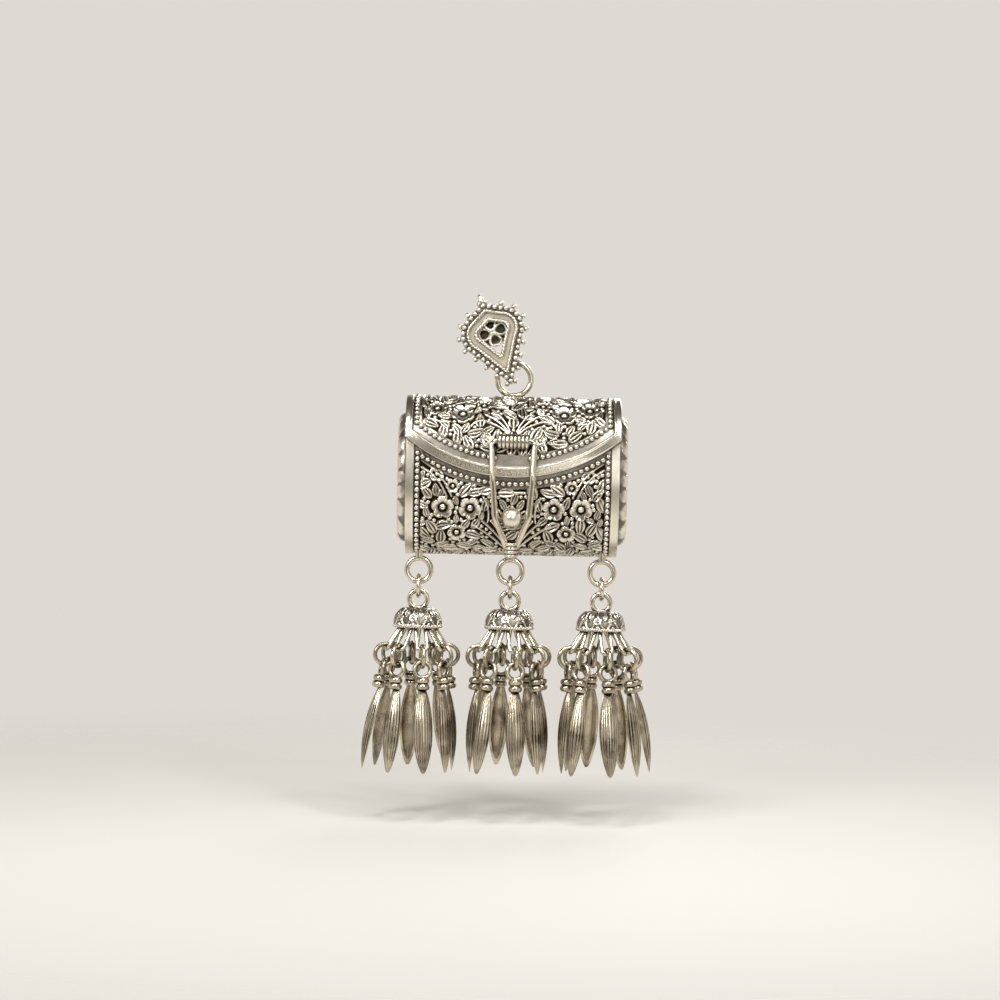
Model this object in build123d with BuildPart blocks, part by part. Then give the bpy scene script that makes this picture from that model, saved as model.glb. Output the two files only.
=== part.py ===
from build123d import *
from math import cos, hypot, radians, sin, sqrt
import os

# A silver amulet box shaped like a small purse, worn on a chain: a barrel-fronted box with a
# hinged flap and a loop latch, hung from a teardrop bail, with three tassels under it.
# The origin is the middle of the bail's chain tube. X runs to the wearer's left along the box,
# Y runs to the back, Z is up. All sizes are in millimetres.

# Bail
bail_tilt = 21.5
plate_thickness = 0.8
plate_shoulder = (4.6, 7.4)
plate_widest = (5.75, 10.4)
plate_crown = (3.4, 13.8)
plate_length = 15.5
opening_inset = 3.1
wire_border_width = 0.6
outer_wire_inset = 1.0
inner_wire_inset = 2.45
wire_border_height = 0.5
granule_radius = 0.46
granule_inset = 0.4
granule_lift = 0.2
granule_pitch = 1.0
finial_radius = 0.75
finial_point = 0.3
finial_height = 1.7
finial_clear = 1.6
petal_radius = 0.85
petal_wire = 0.2
petal_reach = 1.25
flower_centre_up = 10.7
flower_granule = 0.36
tube_bore = 4.0
tube_wall = 0.5
tube_length = 6.5
tube_seat_depth = 0.2
tube_up = 10.5
staple_wire = 0.8
staple_leg_spacing = 3.2
staple_straight = 1.3
staple_up = 2.73
staple_side = 1.45

# Top ring and its saddle
top_ring_wire = 1.0
top_ring_outer = 7.0
ring_plate_gap = 0.35
ring_hang_gap = 0.12
saddle_height = 1.7
saddle_length = 4.6
saddle_width = 1.9
ring_sink = 0.4

# Box
shell_length = 36.0
shell_height = 26.2
front_bulge = 8.65
back_depth = 8.5
wall = 0.8
mouth_length = 31.0
mouth_drop = 4.1
end_flange = 0.7
end_dome_height = 1.4
end_dome_inset = 1.6
end_dome_round = 1.2
rim_width = 1.4
rim_height = 0.5
bead_row_width = 0.9
bead_row_height = 0.4
bead_row_gap = 0.15
ring_behind_hinge = 3.05

# Chased front
chase_height = 0.45
chase_margin = 0.5
chase_gap = 0.2
petal_number = 5
petal_ring_share = 0.55
petal_share = 0.42
eye_share = 0.25
large_flower = 2.0
middle_flower = 1.65
small_flower = 1.3
flower_end_inset = 3.65
flower_pitch = 4.8
flower_above_knob = 1.6
flower_below_knob = 2.6
small_flower_inset = 2.55
small_flower_pitch = 2.8
chased_leaf_width = 1.6
chased_leaf_length = 2.9

# Lid
lid_gap = 0.15
lid_thickness = 0.6
lid_overhang = 0.25
lid_corner_drop = 6.1
lid_middle_drop = 12.9
edge_band_width = 1.8
edge_band_height = 0.4
lid_bead_space = 0.9
body_bead_space = 0.7
hinge_radius = 0.75
hinge_axis_height = 0.5
hinge_clear = 0.2
pin_diameter = 0.7
pin_gap = 0.05
knuckle_count = 5
knuckle_gap = 0.12
hinge_length = 30.0
leaf_thickness = 0.45
leaf_depth = 0.95

# Latch
latch_tube_length = 5.4
latch_tube_radius = 1.4
latch_tube_seat = 0.2
latch_drop = 7.0
loop_wire = 1.1
loop_gap = 0.1
loop_shoulder_x = 3.75
loop_edge_x = 3.5
loop_knob_x = 2.9
loop_foot_x = 0.75
loop_shoulder_bend = 0.9
loop_edge_bend = 6.0
loop_knob_bend = 2.0
loop_edge_clear = 0.4
loop_knob_back = 0.75
loop_foot_back = 1.5
loop_foot_rise = 1.0
tip_radius = 1.25
tip_length = 2.8
tip_lap = 1.2
rosette_radius = 1.15
rosette_height = 0.5
rosette_x = 4.7
rosette_up = 0.5
knob_rise = 6.2
knob_diameter = 3.7
knob_foot_radius = 1.5
knob_foot_height = 0.9
knob_sink = 0.15

# Tassels
tassel_end_inset = 1.8
tassel_forward = 2.0
body_ring_outer = 5.2
body_ring_wire = 1.0
body_ring_drop = 3.3
body_ring_foot = 0.7
link_outer = 4.4
link_wire = 0.85
chain_gap = 0.12
cap_ring_outer = 4.1
cap_ring_wire = 0.9
cap_ring_sink = 0.6
cap_top_radius = 1.95
cap_base_radius = 4.1
cap_height = 3.5
cap_bulge = 0.6
cap_rim_radius = 0.3
hook_count = 8
hook_wire = 0.7
hook_half_width = 0.9
hook_top_radius = 3.0
hook_foot_radius = 5.5
hook_drop = 3.9
jump_outer = 4.4
jump_wire = 0.75
drop_gap = 0.1
eye_outer = 3.6
eye_wire = 0.8
bead_radius = 1.2
bead_height = 1.1
leaf_length = 14.5
leaf_width = 3.5
leaf_axis_back = 0.6
leaf_neck = 0.85
leaf_point = 0.64
leaf_metal = 0.5
leaf_widest_share = 0.45
leaf_middle = -0.4
leaf_lap = 0.3
bead_round = 0.5
lean_free = 10.0
lean_spread = 2.0
lean_facing = 4.0
lean_rhythm = 2.1
neighbour_spread = 40.0
hook_turn_share = 0.25

os.makedirs("parts", exist_ok=True)

# Places that follow from the sizes above
tilt = radians(bail_tilt)
along = Vector(-sin(tilt), 0, cos(tilt))
across = Vector(cos(tilt), 0, sin(tilt))
tube_outer = tube_bore / 2 + tube_wall
plate_back_y = tube_seat_depth - tube_outer
bail_plane = Plane(origin=(0, plate_back_y, 0), x_dir=across, z_dir=(0, -1, 0))
staple_point = along * (staple_up - tube_up) + across * staple_side

ring_y = plate_back_y + ring_plate_gap + top_ring_wire / 2
ring_middle_radius = (top_ring_outer - top_ring_wire) / 2
ring_rise = ring_middle_radius - top_ring_wire / 2 - staple_wire / 2 - ring_hang_gap
ring_z = staple_point.Z - ring_rise
shell_top_z = ring_z - top_ring_outer / 2 + ring_sink - saddle_height

mid_x = staple_point.X
mid_y = ring_y - ring_behind_hinge
half_height = shell_height / 2
mid_z = shell_top_z - half_height
section_plane = Plane(origin=(mid_x, mid_y, mid_z), x_dir=(0, 1, 0), z_dir=(1, 0, 0))
face_plane = Plane(origin=(mid_x, mid_y, mid_z), x_dir=(1, 0, 0), z_dir=(0, -1, 0))
box_half_length = shell_length / 2 + end_flange
lid_half_length = box_half_length + lid_overhang
lid_under = rim_height + lid_gap
lid_over = lid_under + lid_thickness
hinge_z = shell_top_z + hinge_axis_height
hinge_back = hinge_radius + hinge_clear
knob_drop = shell_height - knob_rise
knob_w = half_height - knob_drop
bead_row_x = box_half_length - rim_width - bead_row_gap - bead_row_width / 2
chase_half = bead_row_x - bead_row_width / 2 - chase_margin
tassel_spacing = shell_length / 2 - tassel_end_inset
reach = front_bulge * 3


def section(grow, back_inset=0):
    """Outline of the box seen from its end, grown outwards, with its flat back drawn in."""
    high = half_height + grow
    back = back_depth - back_inset
    with BuildSketch() as outline:
        with BuildLine():
            Line((back, high), (0, high))
            EllipticalCenterArc((0, 0), front_bulge + grow, high, 90, arc_size=180)
            Line((0, -high), (back, -high))
            Line((back, -high), (back, high))
        make_face()
    return outline.sketch


def layer(inner, outer, half_length):
    """A curved sheet that wraps the box between two offsets from its outside."""
    with BuildPart() as sheet:
        with BuildSketch(section_plane):
            add(section(outer))
            add(section(inner), mode=Mode.SUBTRACT)
        extrude(amount=half_length, both=True)
    return sheet.part


def surface_out(height, grow):
    """How far the curved front stands out from the box's middle at a height above it."""
    share = height / (half_height + grow)
    return (front_bulge + grow) * sqrt(1 - share * share)


def lid_edge_arc():
    """Radius and centre height of the arc that the flap's lower edge follows."""
    sag = lid_middle_drop - lid_corner_drop
    radius = (lid_half_length**2 + sag**2) / (2 * sag)
    return radius, half_height - lid_middle_drop + radius


def flap_shape(lift, side_inset):
    """The flap seen from the front: its lower edge raised by lift, its ends drawn in."""
    radius, centre = lid_edge_arc()
    half = lid_half_length - side_inset
    radius = radius - lift
    corner = centre - sqrt(radius**2 - half**2)
    high = half_height + lid_over + edge_band_height
    with BuildSketch() as shape:
        with BuildLine():
            ThreePointArc((-half, corner), (0, centre - radius), (half, corner))
            Line((half, corner), (half, high))
            Line((half, high), (-half, high))
            Line((-half, high), (-half, corner))
        make_face()
    return shape.sketch


# Bail: a pierced teardrop plate with wire borders, granules, a wire flower and two fittings behind
def teardrop(inset):
    """The bail's outline drawn in by an inset, with its tip at the bottom."""
    with BuildSketch() as shape:
        with BuildLine():
            Line((0, 0), plate_shoulder)
            ThreePointArc(plate_shoulder, plate_widest, plate_crown)
            Line(plate_crown, (0, plate_length))
            mirror(about=Plane.YZ)
        make_face()
        if inset != 0:
            offset(amount=-inset, kind=Kind.INTERSECTION)
    return Pos(0, -tube_up) * shape.sketch


with BuildPart() as bail_plate:
    with BuildSketch(bail_plane):
        add(teardrop(0))
        add(teardrop(opening_inset), mode=Mode.SUBTRACT)
    extrude(amount=plate_thickness)
bail_plate.part.label = "bail_plate"
export_step(bail_plate.part, "parts/bail_plate.step")

front_plane = bail_plane.offset(plate_thickness)
with BuildPart() as bail_border_wires:
    with BuildSketch(front_plane):
        for inset in (outer_wire_inset, inner_wire_inset):
            add(teardrop(inset))
            add(teardrop(inset + wire_border_width), mode=Mode.SUBTRACT)
    extrude(amount=wire_border_height)
bail_border_wires.part.label = "bail_border_wires"
export_step(bail_border_wires.part, "parts/bail_border_wires.step")

granule_path = teardrop(granule_inset).face().outer_wire()
granule_count = int(granule_path.length / granule_pitch)
row_granules = [granule_path.position_at(i / granule_count) for i in range(granule_count)]
edge_path = teardrop(-granule_radius).face().outer_wire()
edge_count = granule_count // 2
finial_middle = Vector(0, plate_length - tube_up + finial_height / 2)
edge_granules = [edge_path.position_at((i + 0.5) / edge_count) for i in range(edge_count)]
edge_granules = [p for p in edge_granules if (p - finial_middle).length > finial_clear]
with BuildPart() as bail_granules:
    with Locations(front_plane):
        with Locations([(p.X, p.Y, granule_lift) for p in row_granules]):
            Sphere(granule_radius)
    split(bisect_by=front_plane, keep=Keep.TOP)
    with Locations(bail_plane.offset(plate_thickness / 2)):
        with Locations([(p.X, p.Y) for p in edge_granules]):
            Sphere(granule_radius)
        with Locations((finial_middle.X, finial_middle.Y)):
            Cone(finial_radius, finial_point, finial_height, rotation=(-90, 0, 0))
bail_granules.part.label = "bail_granules"
export_step(bail_granules.part, "parts/bail_granules.step")

flower_plane = bail_plane.offset(plate_thickness - petal_wire)
with BuildPart() as bail_flower:
    with Locations(flower_plane):
        with Locations((0, flower_centre_up - tube_up)):
            with PolarLocations(petal_reach, 4):
                Torus(petal_radius, petal_wire)
            with PolarLocations(flower_granule, 4, start_angle=45):
                Sphere(flower_granule)
    add(bail_plate.part, mode=Mode.SUBTRACT)
    add(bail_border_wires.part, mode=Mode.SUBTRACT)
bail_flower.part.label = "bail_flower"
export_step(bail_flower.part, "parts/bail_flower.step")

with BuildPart(Plane(origin=(0, 0, 0), x_dir=(0, 1, 0), z_dir=across)) as bail_chain_tube:
    Cylinder(tube_outer, tube_length)
    Cylinder(tube_bore / 2, tube_length, mode=Mode.SUBTRACT)
    split(bisect_by=bail_plane, keep=Keep.BOTTOM)
bail_chain_tube.part.label = "bail_chain_tube"
export_step(bail_chain_tube.part, "parts/bail_chain_tube.step")

staple_plane = Plane(
    origin=(staple_point.X, plate_back_y, staple_point.Z), x_dir=(0, 1, 0), z_dir=across
)
staple_turn = (staple_straight + staple_leg_spacing / 2, staple_leg_spacing / 2)
with BuildPart() as bail_ring_staple:
    with BuildLine(staple_plane) as staple_path:
        Line((0, 0), (staple_straight, 0))
        ThreePointArc((staple_straight, 0), staple_turn, (staple_straight, staple_leg_spacing))
        Line((staple_straight, staple_leg_spacing), (0, staple_leg_spacing))
    with BuildSketch(staple_path.wire() ^ 0):
        Circle(staple_wire / 2)
    sweep()
bail_ring_staple.part.label = "bail_ring_staple"
export_step(bail_ring_staple.part, "parts/bail_ring_staple.step")

# Top ring, soldered into the saddle that carries it on the box, behind the hinge
with BuildPart() as top_ring:
    with Locations((mid_x, ring_y, shell_top_z + saddle_height / 2)):
        Box(saddle_length, saddle_width, saddle_height)
    fillet(top_ring.edges().filter_by(Axis.Z), saddle_width / 3)
    with Locations(Location((mid_x, ring_y, ring_z), (90, 0, 0))):
        Torus(ring_middle_radius, top_ring_wire / 2)
top_ring.part.label = "top_ring"
export_step(top_ring.part, "parts/top_ring.step")

# Box shell: a tube with a flat back and a barrel front, open at the top front under the flap, with
# flowers and leaves pushed out of the front
def front_frame(x, height):
    """A plane that lies on the curved front, facing outwards."""
    out = surface_out(height, 0)
    normal = Vector(0, -out / front_bulge**2, height / half_height**2)
    return Plane(origin=(mid_x + x, mid_y - out, mid_z + height), x_dir=(1, 0, 0), z_dir=normal)


def under_flap(x, size):
    """Height of a motif of this half size that lies just under the bead row."""
    radius, centre = lid_edge_arc()
    row_low = centre - sqrt(radius**2 - x**2) - body_bead_space - bead_row_width
    return row_low - chase_gap - size


def dome_radius(half_width):
    """Radius of a ball that stands out of the front by the chasing's height."""
    return (half_width**2 + chase_height**2) / (2 * chase_height)


leaf_ball = dome_radius(chased_leaf_width / 2)
leaf_stretch = chased_leaf_length / chased_leaf_width
with BuildPart() as chased_leaf:
    with BuildSketch():
        with BuildLine():
            EllipticalCenterArc((0, 0), leaf_ball * leaf_stretch, leaf_ball, 0, arc_size=180)
            Line((-leaf_ball * leaf_stretch, 0), (leaf_ball * leaf_stretch, 0))
        make_face()
    revolve(axis=Axis.X)

flower_x = chase_half - flower_end_inset
small_x = chase_half - small_flower_inset
large_w = knob_w + flower_above_knob
chased_flowers = [
    (flower_x, large_w, large_flower),
    (flower_x - flower_pitch, large_w, large_flower),
    (flower_x - flower_pitch / 2, knob_w - flower_below_knob, middle_flower),
    (small_x, under_flap(small_x, small_flower), small_flower),
    (small_x - small_flower_pitch, under_flap(small_x - small_flower_pitch, small_flower), small_flower),
]
leaf_reach = chased_leaf_length / 2
leaf_high = under_flap(flower_x - flower_pitch, chased_leaf_width / 2)
chased_leaves = [
    (chase_half - leaf_reach, knob_w - flower_below_knob / 2, 60),
    (flower_x, knob_w - flower_below_knob - large_flower, 160),
    (flower_x - flower_pitch, knob_w - flower_below_knob - middle_flower, 30),
    (flower_x - flower_pitch, leaf_high, 165),
]
with BuildPart() as box_shell:
    with BuildSketch(section_plane):
        add(section(0))
    extrude(amount=shell_length / 2, both=True)
    for side in (1, -1):
        for x, height, size in chased_flowers:
            petal, eye = petal_share * size, eye_share * size
            petal_ball, eye_ball = dome_radius(petal), dome_radius(eye)
            with Locations(front_frame(side * x, height)):
                with Locations((0, 0, chase_height - eye_ball)):
                    Sphere(eye_ball)
                with PolarLocations(petal_ring_share * size, petal_number, start_angle=90):
                    with Locations((0, 0, chase_height - petal_ball)):
                        Sphere(petal_ball)
        for x, height, turn in chased_leaves:
            heading = turn if side > 0 else 180 - turn
            with Locations(front_frame(side * x, height)):
                with Locations(Location((0, 0, chase_height - leaf_ball), (0, 0, heading))):
                    add(chased_leaf.part)
    with BuildSketch(section_plane):
        add(section(-wall, wall))
    extrude(amount=shell_length / 2, both=True, mode=Mode.SUBTRACT)
    with BuildSketch(section_plane):
        mouth_low = half_height - mouth_drop
        with Locations((hinge_back - reach / 2, mouth_low + reach / 2)):
            Rectangle(reach, reach)
    extrude(amount=mouth_length / 2, both=True, mode=Mode.SUBTRACT)
box_shell.part.label = "box_shell"
export_step(box_shell.part, "parts/box_shell.step")

# End plates: flat flanges with a raised dome, closing the ends of the shell
for side, name in ((-1, "left_end_plate"), (1, "right_end_plate")):
    with BuildPart() as end_plate:
        with BuildSketch(section_plane.offset(side * shell_length / 2)):
            add(section(0))
        extrude(amount=side * end_flange)
        with BuildSketch(section_plane.offset(side * box_half_length)):
            add(section(-end_dome_inset, end_dome_inset))
        extrude(amount=side * end_dome_height)
        dome_rim = end_plate.faces().sort_by(Axis.X)[-1 if side > 0 else 0].edges()
        fillet(dome_rim, end_dome_round)
    end_plate.part.label = name
    export_step(end_plate.part, f"parts/{name}.step")

# Rims round both ends of the box, and the bead rows beside them and under the flap
with BuildPart() as end_rims:
    rim_starts = (-box_half_length, box_half_length - rim_width)
    with BuildSketch(*[section_plane.offset(start) for start in rim_starts]):
        add(section(rim_height))
        add(section(0), mode=Mode.SUBTRACT)
    extrude(amount=rim_width)
end_rims.part.label = "end_rims"
export_step(end_rims.part, "parts/end_rims.step")

bead_layer = layer(0, bead_row_height, shell_length / 2)
lid_corner_w = half_height - lid_corner_drop
row_top = lid_corner_w - body_bead_space
row_side = lid_half_length - bead_row_x + bead_row_width / 2 + bead_row_gap
with BuildPart() as body_bead_rows:
    with BuildSketch(face_plane):
        add(flap_shape(-body_bead_space - bead_row_width, row_side))
        add(flap_shape(-body_bead_space, 0), mode=Mode.SUBTRACT)
        with Locations((-bead_row_x, row_top - reach / 2), (bead_row_x, row_top - reach / 2)):
            Rectangle(bead_row_width, reach)
    extrude(amount=reach)
    add(bead_layer, mode=Mode.INTERSECT)
body_bead_rows.part.label = "body_bead_rows"
export_step(body_bead_rows.part, "parts/body_bead_rows.step")

# Hinge: a leaf on the box and knuckles on the lid, in turn along one pin
knuckle_length = hinge_length / knuckle_count
knuckle_starts = [mid_x - hinge_length / 2 + i * knuckle_length for i in range(knuckle_count)]
knuckle_middles = [start + knuckle_length / 2 for start in knuckle_starts]
knuckle_solid = knuckle_length - knuckle_gap
pin_bore = pin_diameter / 2 + pin_gap
hinge_line = Plane(origin=(0, mid_y, hinge_z), x_dir=(0, 1, 0), z_dir=(1, 0, 0))
leaf_low = -hinge_axis_height

with BuildPart() as hinge_leaf:
    with Locations((mid_x, mid_y + hinge_back + leaf_depth / 2, shell_top_z + leaf_thickness / 2)):
        Box(hinge_length, leaf_depth, leaf_thickness)
    for middle in knuckle_middles[0::2]:
        with BuildSketch(hinge_line.offset(middle - knuckle_solid / 2)):
            Circle(hinge_radius)
            with Locations((hinge_back / 2, leaf_low + leaf_thickness / 2)):
                Rectangle(hinge_back, leaf_thickness)
        extrude(amount=knuckle_solid)
    with Locations(hinge_line.offset(mid_x)):
        Cylinder(pin_bore, hinge_length, mode=Mode.SUBTRACT)
hinge_leaf.part.label = "hinge_leaf"
export_step(hinge_leaf.part, "parts/hinge_leaf.step")

web_low = lid_under - hinge_axis_height
web_high = hinge_radius
with BuildPart() as lid_knuckles:
    for middle in knuckle_middles[1::2]:
        with BuildSketch(hinge_line.offset(middle - knuckle_solid / 2)):
            Circle(hinge_radius)
            with Locations((-hinge_back / 2, (web_low + web_high) / 2)):
                Rectangle(hinge_back, web_high - web_low)
        extrude(amount=knuckle_solid)
    with Locations(hinge_line.offset(mid_x)):
        Cylinder(pin_bore, hinge_length, mode=Mode.SUBTRACT)
lid_knuckles.part.label = "lid_knuckles"
export_step(lid_knuckles.part, "parts/lid_knuckles.step")

with BuildPart() as hinge_pin:
    with Locations(hinge_line.offset(mid_x)):
        Cylinder(pin_diameter / 2, hinge_length)
hinge_pin.part.label = "hinge_pin"
export_step(hinge_pin.part, "parts/hinge_pin.step")

# Lid: a curved flap over the mouth, with a plain band along its edge and a bead row inside that
with BuildPart() as lid_shell:
    with BuildSketch(face_plane.offset(hinge_back)):
        add(flap_shape(0, 0))
    extrude(amount=reach)
    add(layer(lid_under, lid_over, lid_half_length), mode=Mode.INTERSECT)
lid_shell.part.label = "lid_shell"
export_step(lid_shell.part, "parts/lid_shell.step")

trim_layer = layer(lid_over, lid_over + edge_band_height, lid_half_length)
with BuildPart() as lid_edge_band:
    with BuildSketch(face_plane.offset(hinge_back)):
        add(flap_shape(0, 0))
        add(flap_shape(edge_band_width, rim_width), mode=Mode.SUBTRACT)
    extrude(amount=reach)
    add(trim_layer, mode=Mode.INTERSECT)
lid_edge_band.part.label = "lid_edge_band"
export_step(lid_edge_band.part, "parts/lid_edge_band.step")

row_outer = edge_band_width + lid_bead_space
row_end = rim_width + bead_row_gap
with BuildPart() as lid_bead_row:
    with BuildSketch(face_plane.offset(hinge_back)):
        add(flap_shape(row_outer, row_end))
        add(flap_shape(row_outer + bead_row_width, row_end + bead_row_width), mode=Mode.SUBTRACT)
    extrude(amount=reach)
    add(trim_layer, mode=Mode.INTERSECT)
lid_bead_row.part.label = "lid_bead_row"
export_step(lid_bead_row.part, "parts/lid_bead_row.step")

# Latch: a fluted tube and two rosettes on the flap, and a wire loop that drops over a knob
latch_w = half_height - latch_drop
latch_out = surface_out(latch_w, lid_over)
latch_tilt_y = -latch_out / (front_bulge + lid_over) ** 2
latch_tilt_z = latch_w / (half_height + lid_over) ** 2
latch_normal = Vector(0, latch_tilt_y, latch_tilt_z).normalized()
latch_foot = Vector(mid_x, mid_y - latch_out, mid_z + latch_w)
latch_axis = latch_foot + latch_normal * (latch_tube_radius - latch_tube_seat)
latch_line = Plane(origin=latch_axis, x_dir=(0, 1, 0), z_dir=(1, 0, 0))
loop_bore = loop_wire / 2 + loop_gap

with BuildPart() as latch_tube:
    with Locations(latch_line):
        Cylinder(latch_tube_radius, latch_tube_length)
        Cylinder(loop_bore, latch_tube_length, mode=Mode.SUBTRACT)
    add(lid_shell.part, mode=Mode.SUBTRACT)
    add(lid_bead_row.part, mode=Mode.SUBTRACT)
latch_tube.part.label = "latch_tube"
export_step(latch_tube.part, "parts/latch_tube.step")

rosette_foot = latch_foot + latch_normal * rosette_height / 2 + Vector(0, 0, rosette_up)
with BuildPart() as latch_rosettes:
    for side in (-1, 1):
        spot = rosette_foot + Vector(side * rosette_x, 0, 0)
        with Locations(Plane(origin=spot, x_dir=(1, 0, 0), z_dir=latch_normal)):
            Cylinder(rosette_radius, rosette_height)
    add(lid_shell.part, mode=Mode.SUBTRACT)
    add(lid_bead_row.part, mode=Mode.SUBTRACT)
latch_rosettes.part.label = "latch_rosettes"
export_step(latch_rosettes.part, "parts/latch_rosettes.step")

# Knob: a polished ball on a collar, low on the front of the box
knob_out = surface_out(knob_w, 0)
knob_seat = Vector(mid_x, mid_y - knob_out, mid_z + knob_w)
ball_y = knob_seat.Y - knob_foot_height - knob_diameter / 2 + knob_sink
with BuildPart() as knob:
    with Locations((mid_x, ball_y, knob_seat.Z)):
        Sphere(knob_diameter / 2)
    with Locations(Plane(origin=(mid_x, ball_y, knob_seat.Z), z_dir=(0, 1, 0))):
        Cylinder(knob_foot_radius, reach, align=(Align.CENTER, Align.CENTER, Align.MIN))
    split(bisect_by=Plane(origin=(0, mid_y, 0), z_dir=(0, -1, 0)), keep=Keep.TOP)
    with BuildSketch(section_plane):
        add(section(0))
    extrude(amount=box_half_length, both=True, mode=Mode.SUBTRACT)
knob.part.label = "knob"
export_step(knob.part, "parts/knob.step")

# The loop's wire runs through the tube, over the flap's edge, round the knob and into its tip
edge_w = half_height - lid_middle_drop
loop_edge_y = mid_y - front_bulge - lid_over - edge_band_height - loop_edge_clear - loop_wire / 2
loop_foot_w = loop_foot_rise - half_height
loop_half = [
    Vector(loop_shoulder_x, latch_axis.Y, latch_axis.Z),
    Vector(loop_edge_x, loop_edge_y, mid_z + edge_w),
    Vector(loop_knob_x, loop_edge_y + loop_knob_back, knob_seat.Z),
    Vector(loop_foot_x, loop_edge_y + loop_knob_back + loop_foot_back, mid_z + loop_foot_w),
]
right_leg = [p + Vector(mid_x, 0, 0) for p in loop_half]
left_leg = [Vector(mid_x - p.X, p.Y, p.Z) for p in reversed(loop_half)]
half_bends = [loop_shoulder_bend, loop_edge_bend, loop_knob_bend]
with BuildPart() as latch_loop:
    with BuildLine() as loop_path:
        FilletPolyline(left_leg + right_leg, radius=half_bends[::-1] + half_bends)
    with BuildSketch(loop_path.wire() ^ 0):
        Circle(loop_wire / 2)
    sweep()
latch_loop.part.label = "latch_loop"
export_step(latch_loop.part, "parts/latch_loop.step")

foot_run = Vector(0, loop_half[3].Y - loop_half[2].Y, loop_half[3].Z - loop_half[2].Z).normalized()
tip_top = Vector(mid_x, loop_half[3].Y, loop_half[3].Z) - foot_run * tip_lap
with BuildPart() as latch_tip:
    with Locations(Plane(origin=tip_top, x_dir=(1, 0, 0), z_dir=foot_run)):
        Cylinder(tip_radius, tip_length, align=(Align.CENTER, Align.CENTER, Align.MIN))
    add(latch_loop.part, mode=Mode.SUBTRACT)
latch_tip.part.label = "latch_tip"
export_step(latch_tip.part, "parts/latch_tip.step")

# Tassels: a ring under the box, a chain link, a bell cap with its ring, and wire hooks under the cap
bottom_z = mid_z - half_height
tassel_y = mid_y - tassel_forward
body_ring_z = bottom_z - body_ring_drop
body_ring_radius = (body_ring_outer - body_ring_wire) / 2
link_radius = (link_outer - link_wire) / 2
cap_ring_radius = (cap_ring_outer - cap_ring_wire) / 2
body_ring_low = body_ring_z - body_ring_radius
link_z = body_ring_low + body_ring_wire / 2 + link_wire / 2 + chain_gap - link_radius
link_low = link_z - link_radius
cap_ring_high = link_low + link_wire / 2 + cap_ring_wire / 2 + chain_gap
cap_ring_z = cap_ring_high - cap_ring_radius
cap_top_z = cap_ring_z - cap_ring_outer / 2 + cap_ring_sink
cap_base_z = cap_top_z - cap_height
hook_z = cap_base_z - hook_drop
tassel_names = ("left", "middle", "right")
tassel_places = [mid_x + (i - 1) * tassel_spacing for i in range(3)]
hook_step = 360 / hook_count
tassel_turns = [hook_step * hook_turn_share for name in tassel_names]

with BuildPart() as tassel_rings:
    for place in tassel_places:
        with Locations(Location((place, tassel_y, body_ring_z), (90, 0, 0))):
            Torus(body_ring_radius, body_ring_wire / 2)
        with Locations((place, tassel_y, body_ring_z + body_ring_radius)):
            Cylinder(body_ring_foot, reach, align=(Align.CENTER, Align.CENTER, Align.MIN))
    split(bisect_by=Plane(origin=(0, 0, mid_z)), keep=Keep.BOTTOM)
    with BuildSketch(section_plane):
        add(section(0))
    extrude(amount=box_half_length, both=True, mode=Mode.SUBTRACT)
    add(body_bead_rows.part, mode=Mode.SUBTRACT)
tassel_rings.part.label = "tassel_rings"
export_step(tassel_rings.part, "parts/tassel_rings.step")

hook_rise = Vector(hook_top_radius - hook_foot_radius, 0, hook_drop).normalized()
hook_normal = Vector(0, 1, 0).cross(hook_rise)
hook_plane = Plane(origin=(hook_foot_radius, 0, -hook_drop), x_dir=(0, 1, 0), z_dir=hook_normal)
hook_leg = 2 * hook_drop
with BuildPart() as hook:
    with BuildLine(hook_plane) as hook_path:
        Line((-hook_half_width, hook_leg), (-hook_half_width, hook_half_width))
        ThreePointArc((-hook_half_width, hook_half_width), (0, 0), (hook_half_width, hook_half_width))
        Line((hook_half_width, hook_half_width), (hook_half_width, hook_leg))
    with BuildSketch(hook_path.wire() ^ 0):
        Circle(hook_wire / 2)
    sweep()
    split(bisect_by=Plane.XY, keep=Keep.BOTTOM)

for name, place, turn in zip(tassel_names, tassel_places, tassel_turns):
    with BuildPart() as link:
        with Locations(Location((place, tassel_y, link_z), (0, 90, 0))):
            Torus(link_radius, link_wire / 2)
    link.part.label = f"{name}_link"
    export_step(link.part, f"parts/{name}_link.step")

    with BuildPart() as cap_ring:
        with Locations(Location((place, tassel_y, cap_ring_z), (90, 0, 0))):
            Torus(cap_ring_radius, cap_ring_wire / 2)
    cap_ring.part.label = f"{name}_cap_ring"
    export_step(cap_ring.part, f"parts/{name}_cap_ring.step")

    cap_middle = ((cap_top_radius + cap_base_radius) / 2 + cap_bulge, cap_bulge - cap_height / 2)
    with BuildPart() as cap:
        with BuildSketch(Plane(origin=(place, tassel_y, cap_top_z), x_dir=(1, 0, 0), z_dir=(0, -1, 0))):
            with BuildLine():
                Line((0, 0), (cap_top_radius, 0))
                ThreePointArc((cap_top_radius, 0), cap_middle, (cap_base_radius, -cap_height))
                Line((cap_base_radius, -cap_height), (0, -cap_height))
                Line((0, -cap_height), (0, 0))
            make_face()
        revolve(axis=Axis((place, tassel_y, 0), (0, 0, 1)))
        with Locations((place, tassel_y, cap_base_z + cap_rim_radius)):
            Torus(cap_base_radius, cap_rim_radius)
        add(cap_ring.part, mode=Mode.SUBTRACT)
    cap.part.label = f"{name}_cap"
    export_step(cap.part, f"parts/{name}_cap.step")

    with BuildPart() as hooks:
        with Locations((place, tassel_y, cap_base_z)):
            with PolarLocations(0, hook_count, start_angle=turn):
                add(hook.part)
    hooks.part.label = f"{name}_hooks"
    export_step(hooks.part, f"parts/{name}_hooks.step")

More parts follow.
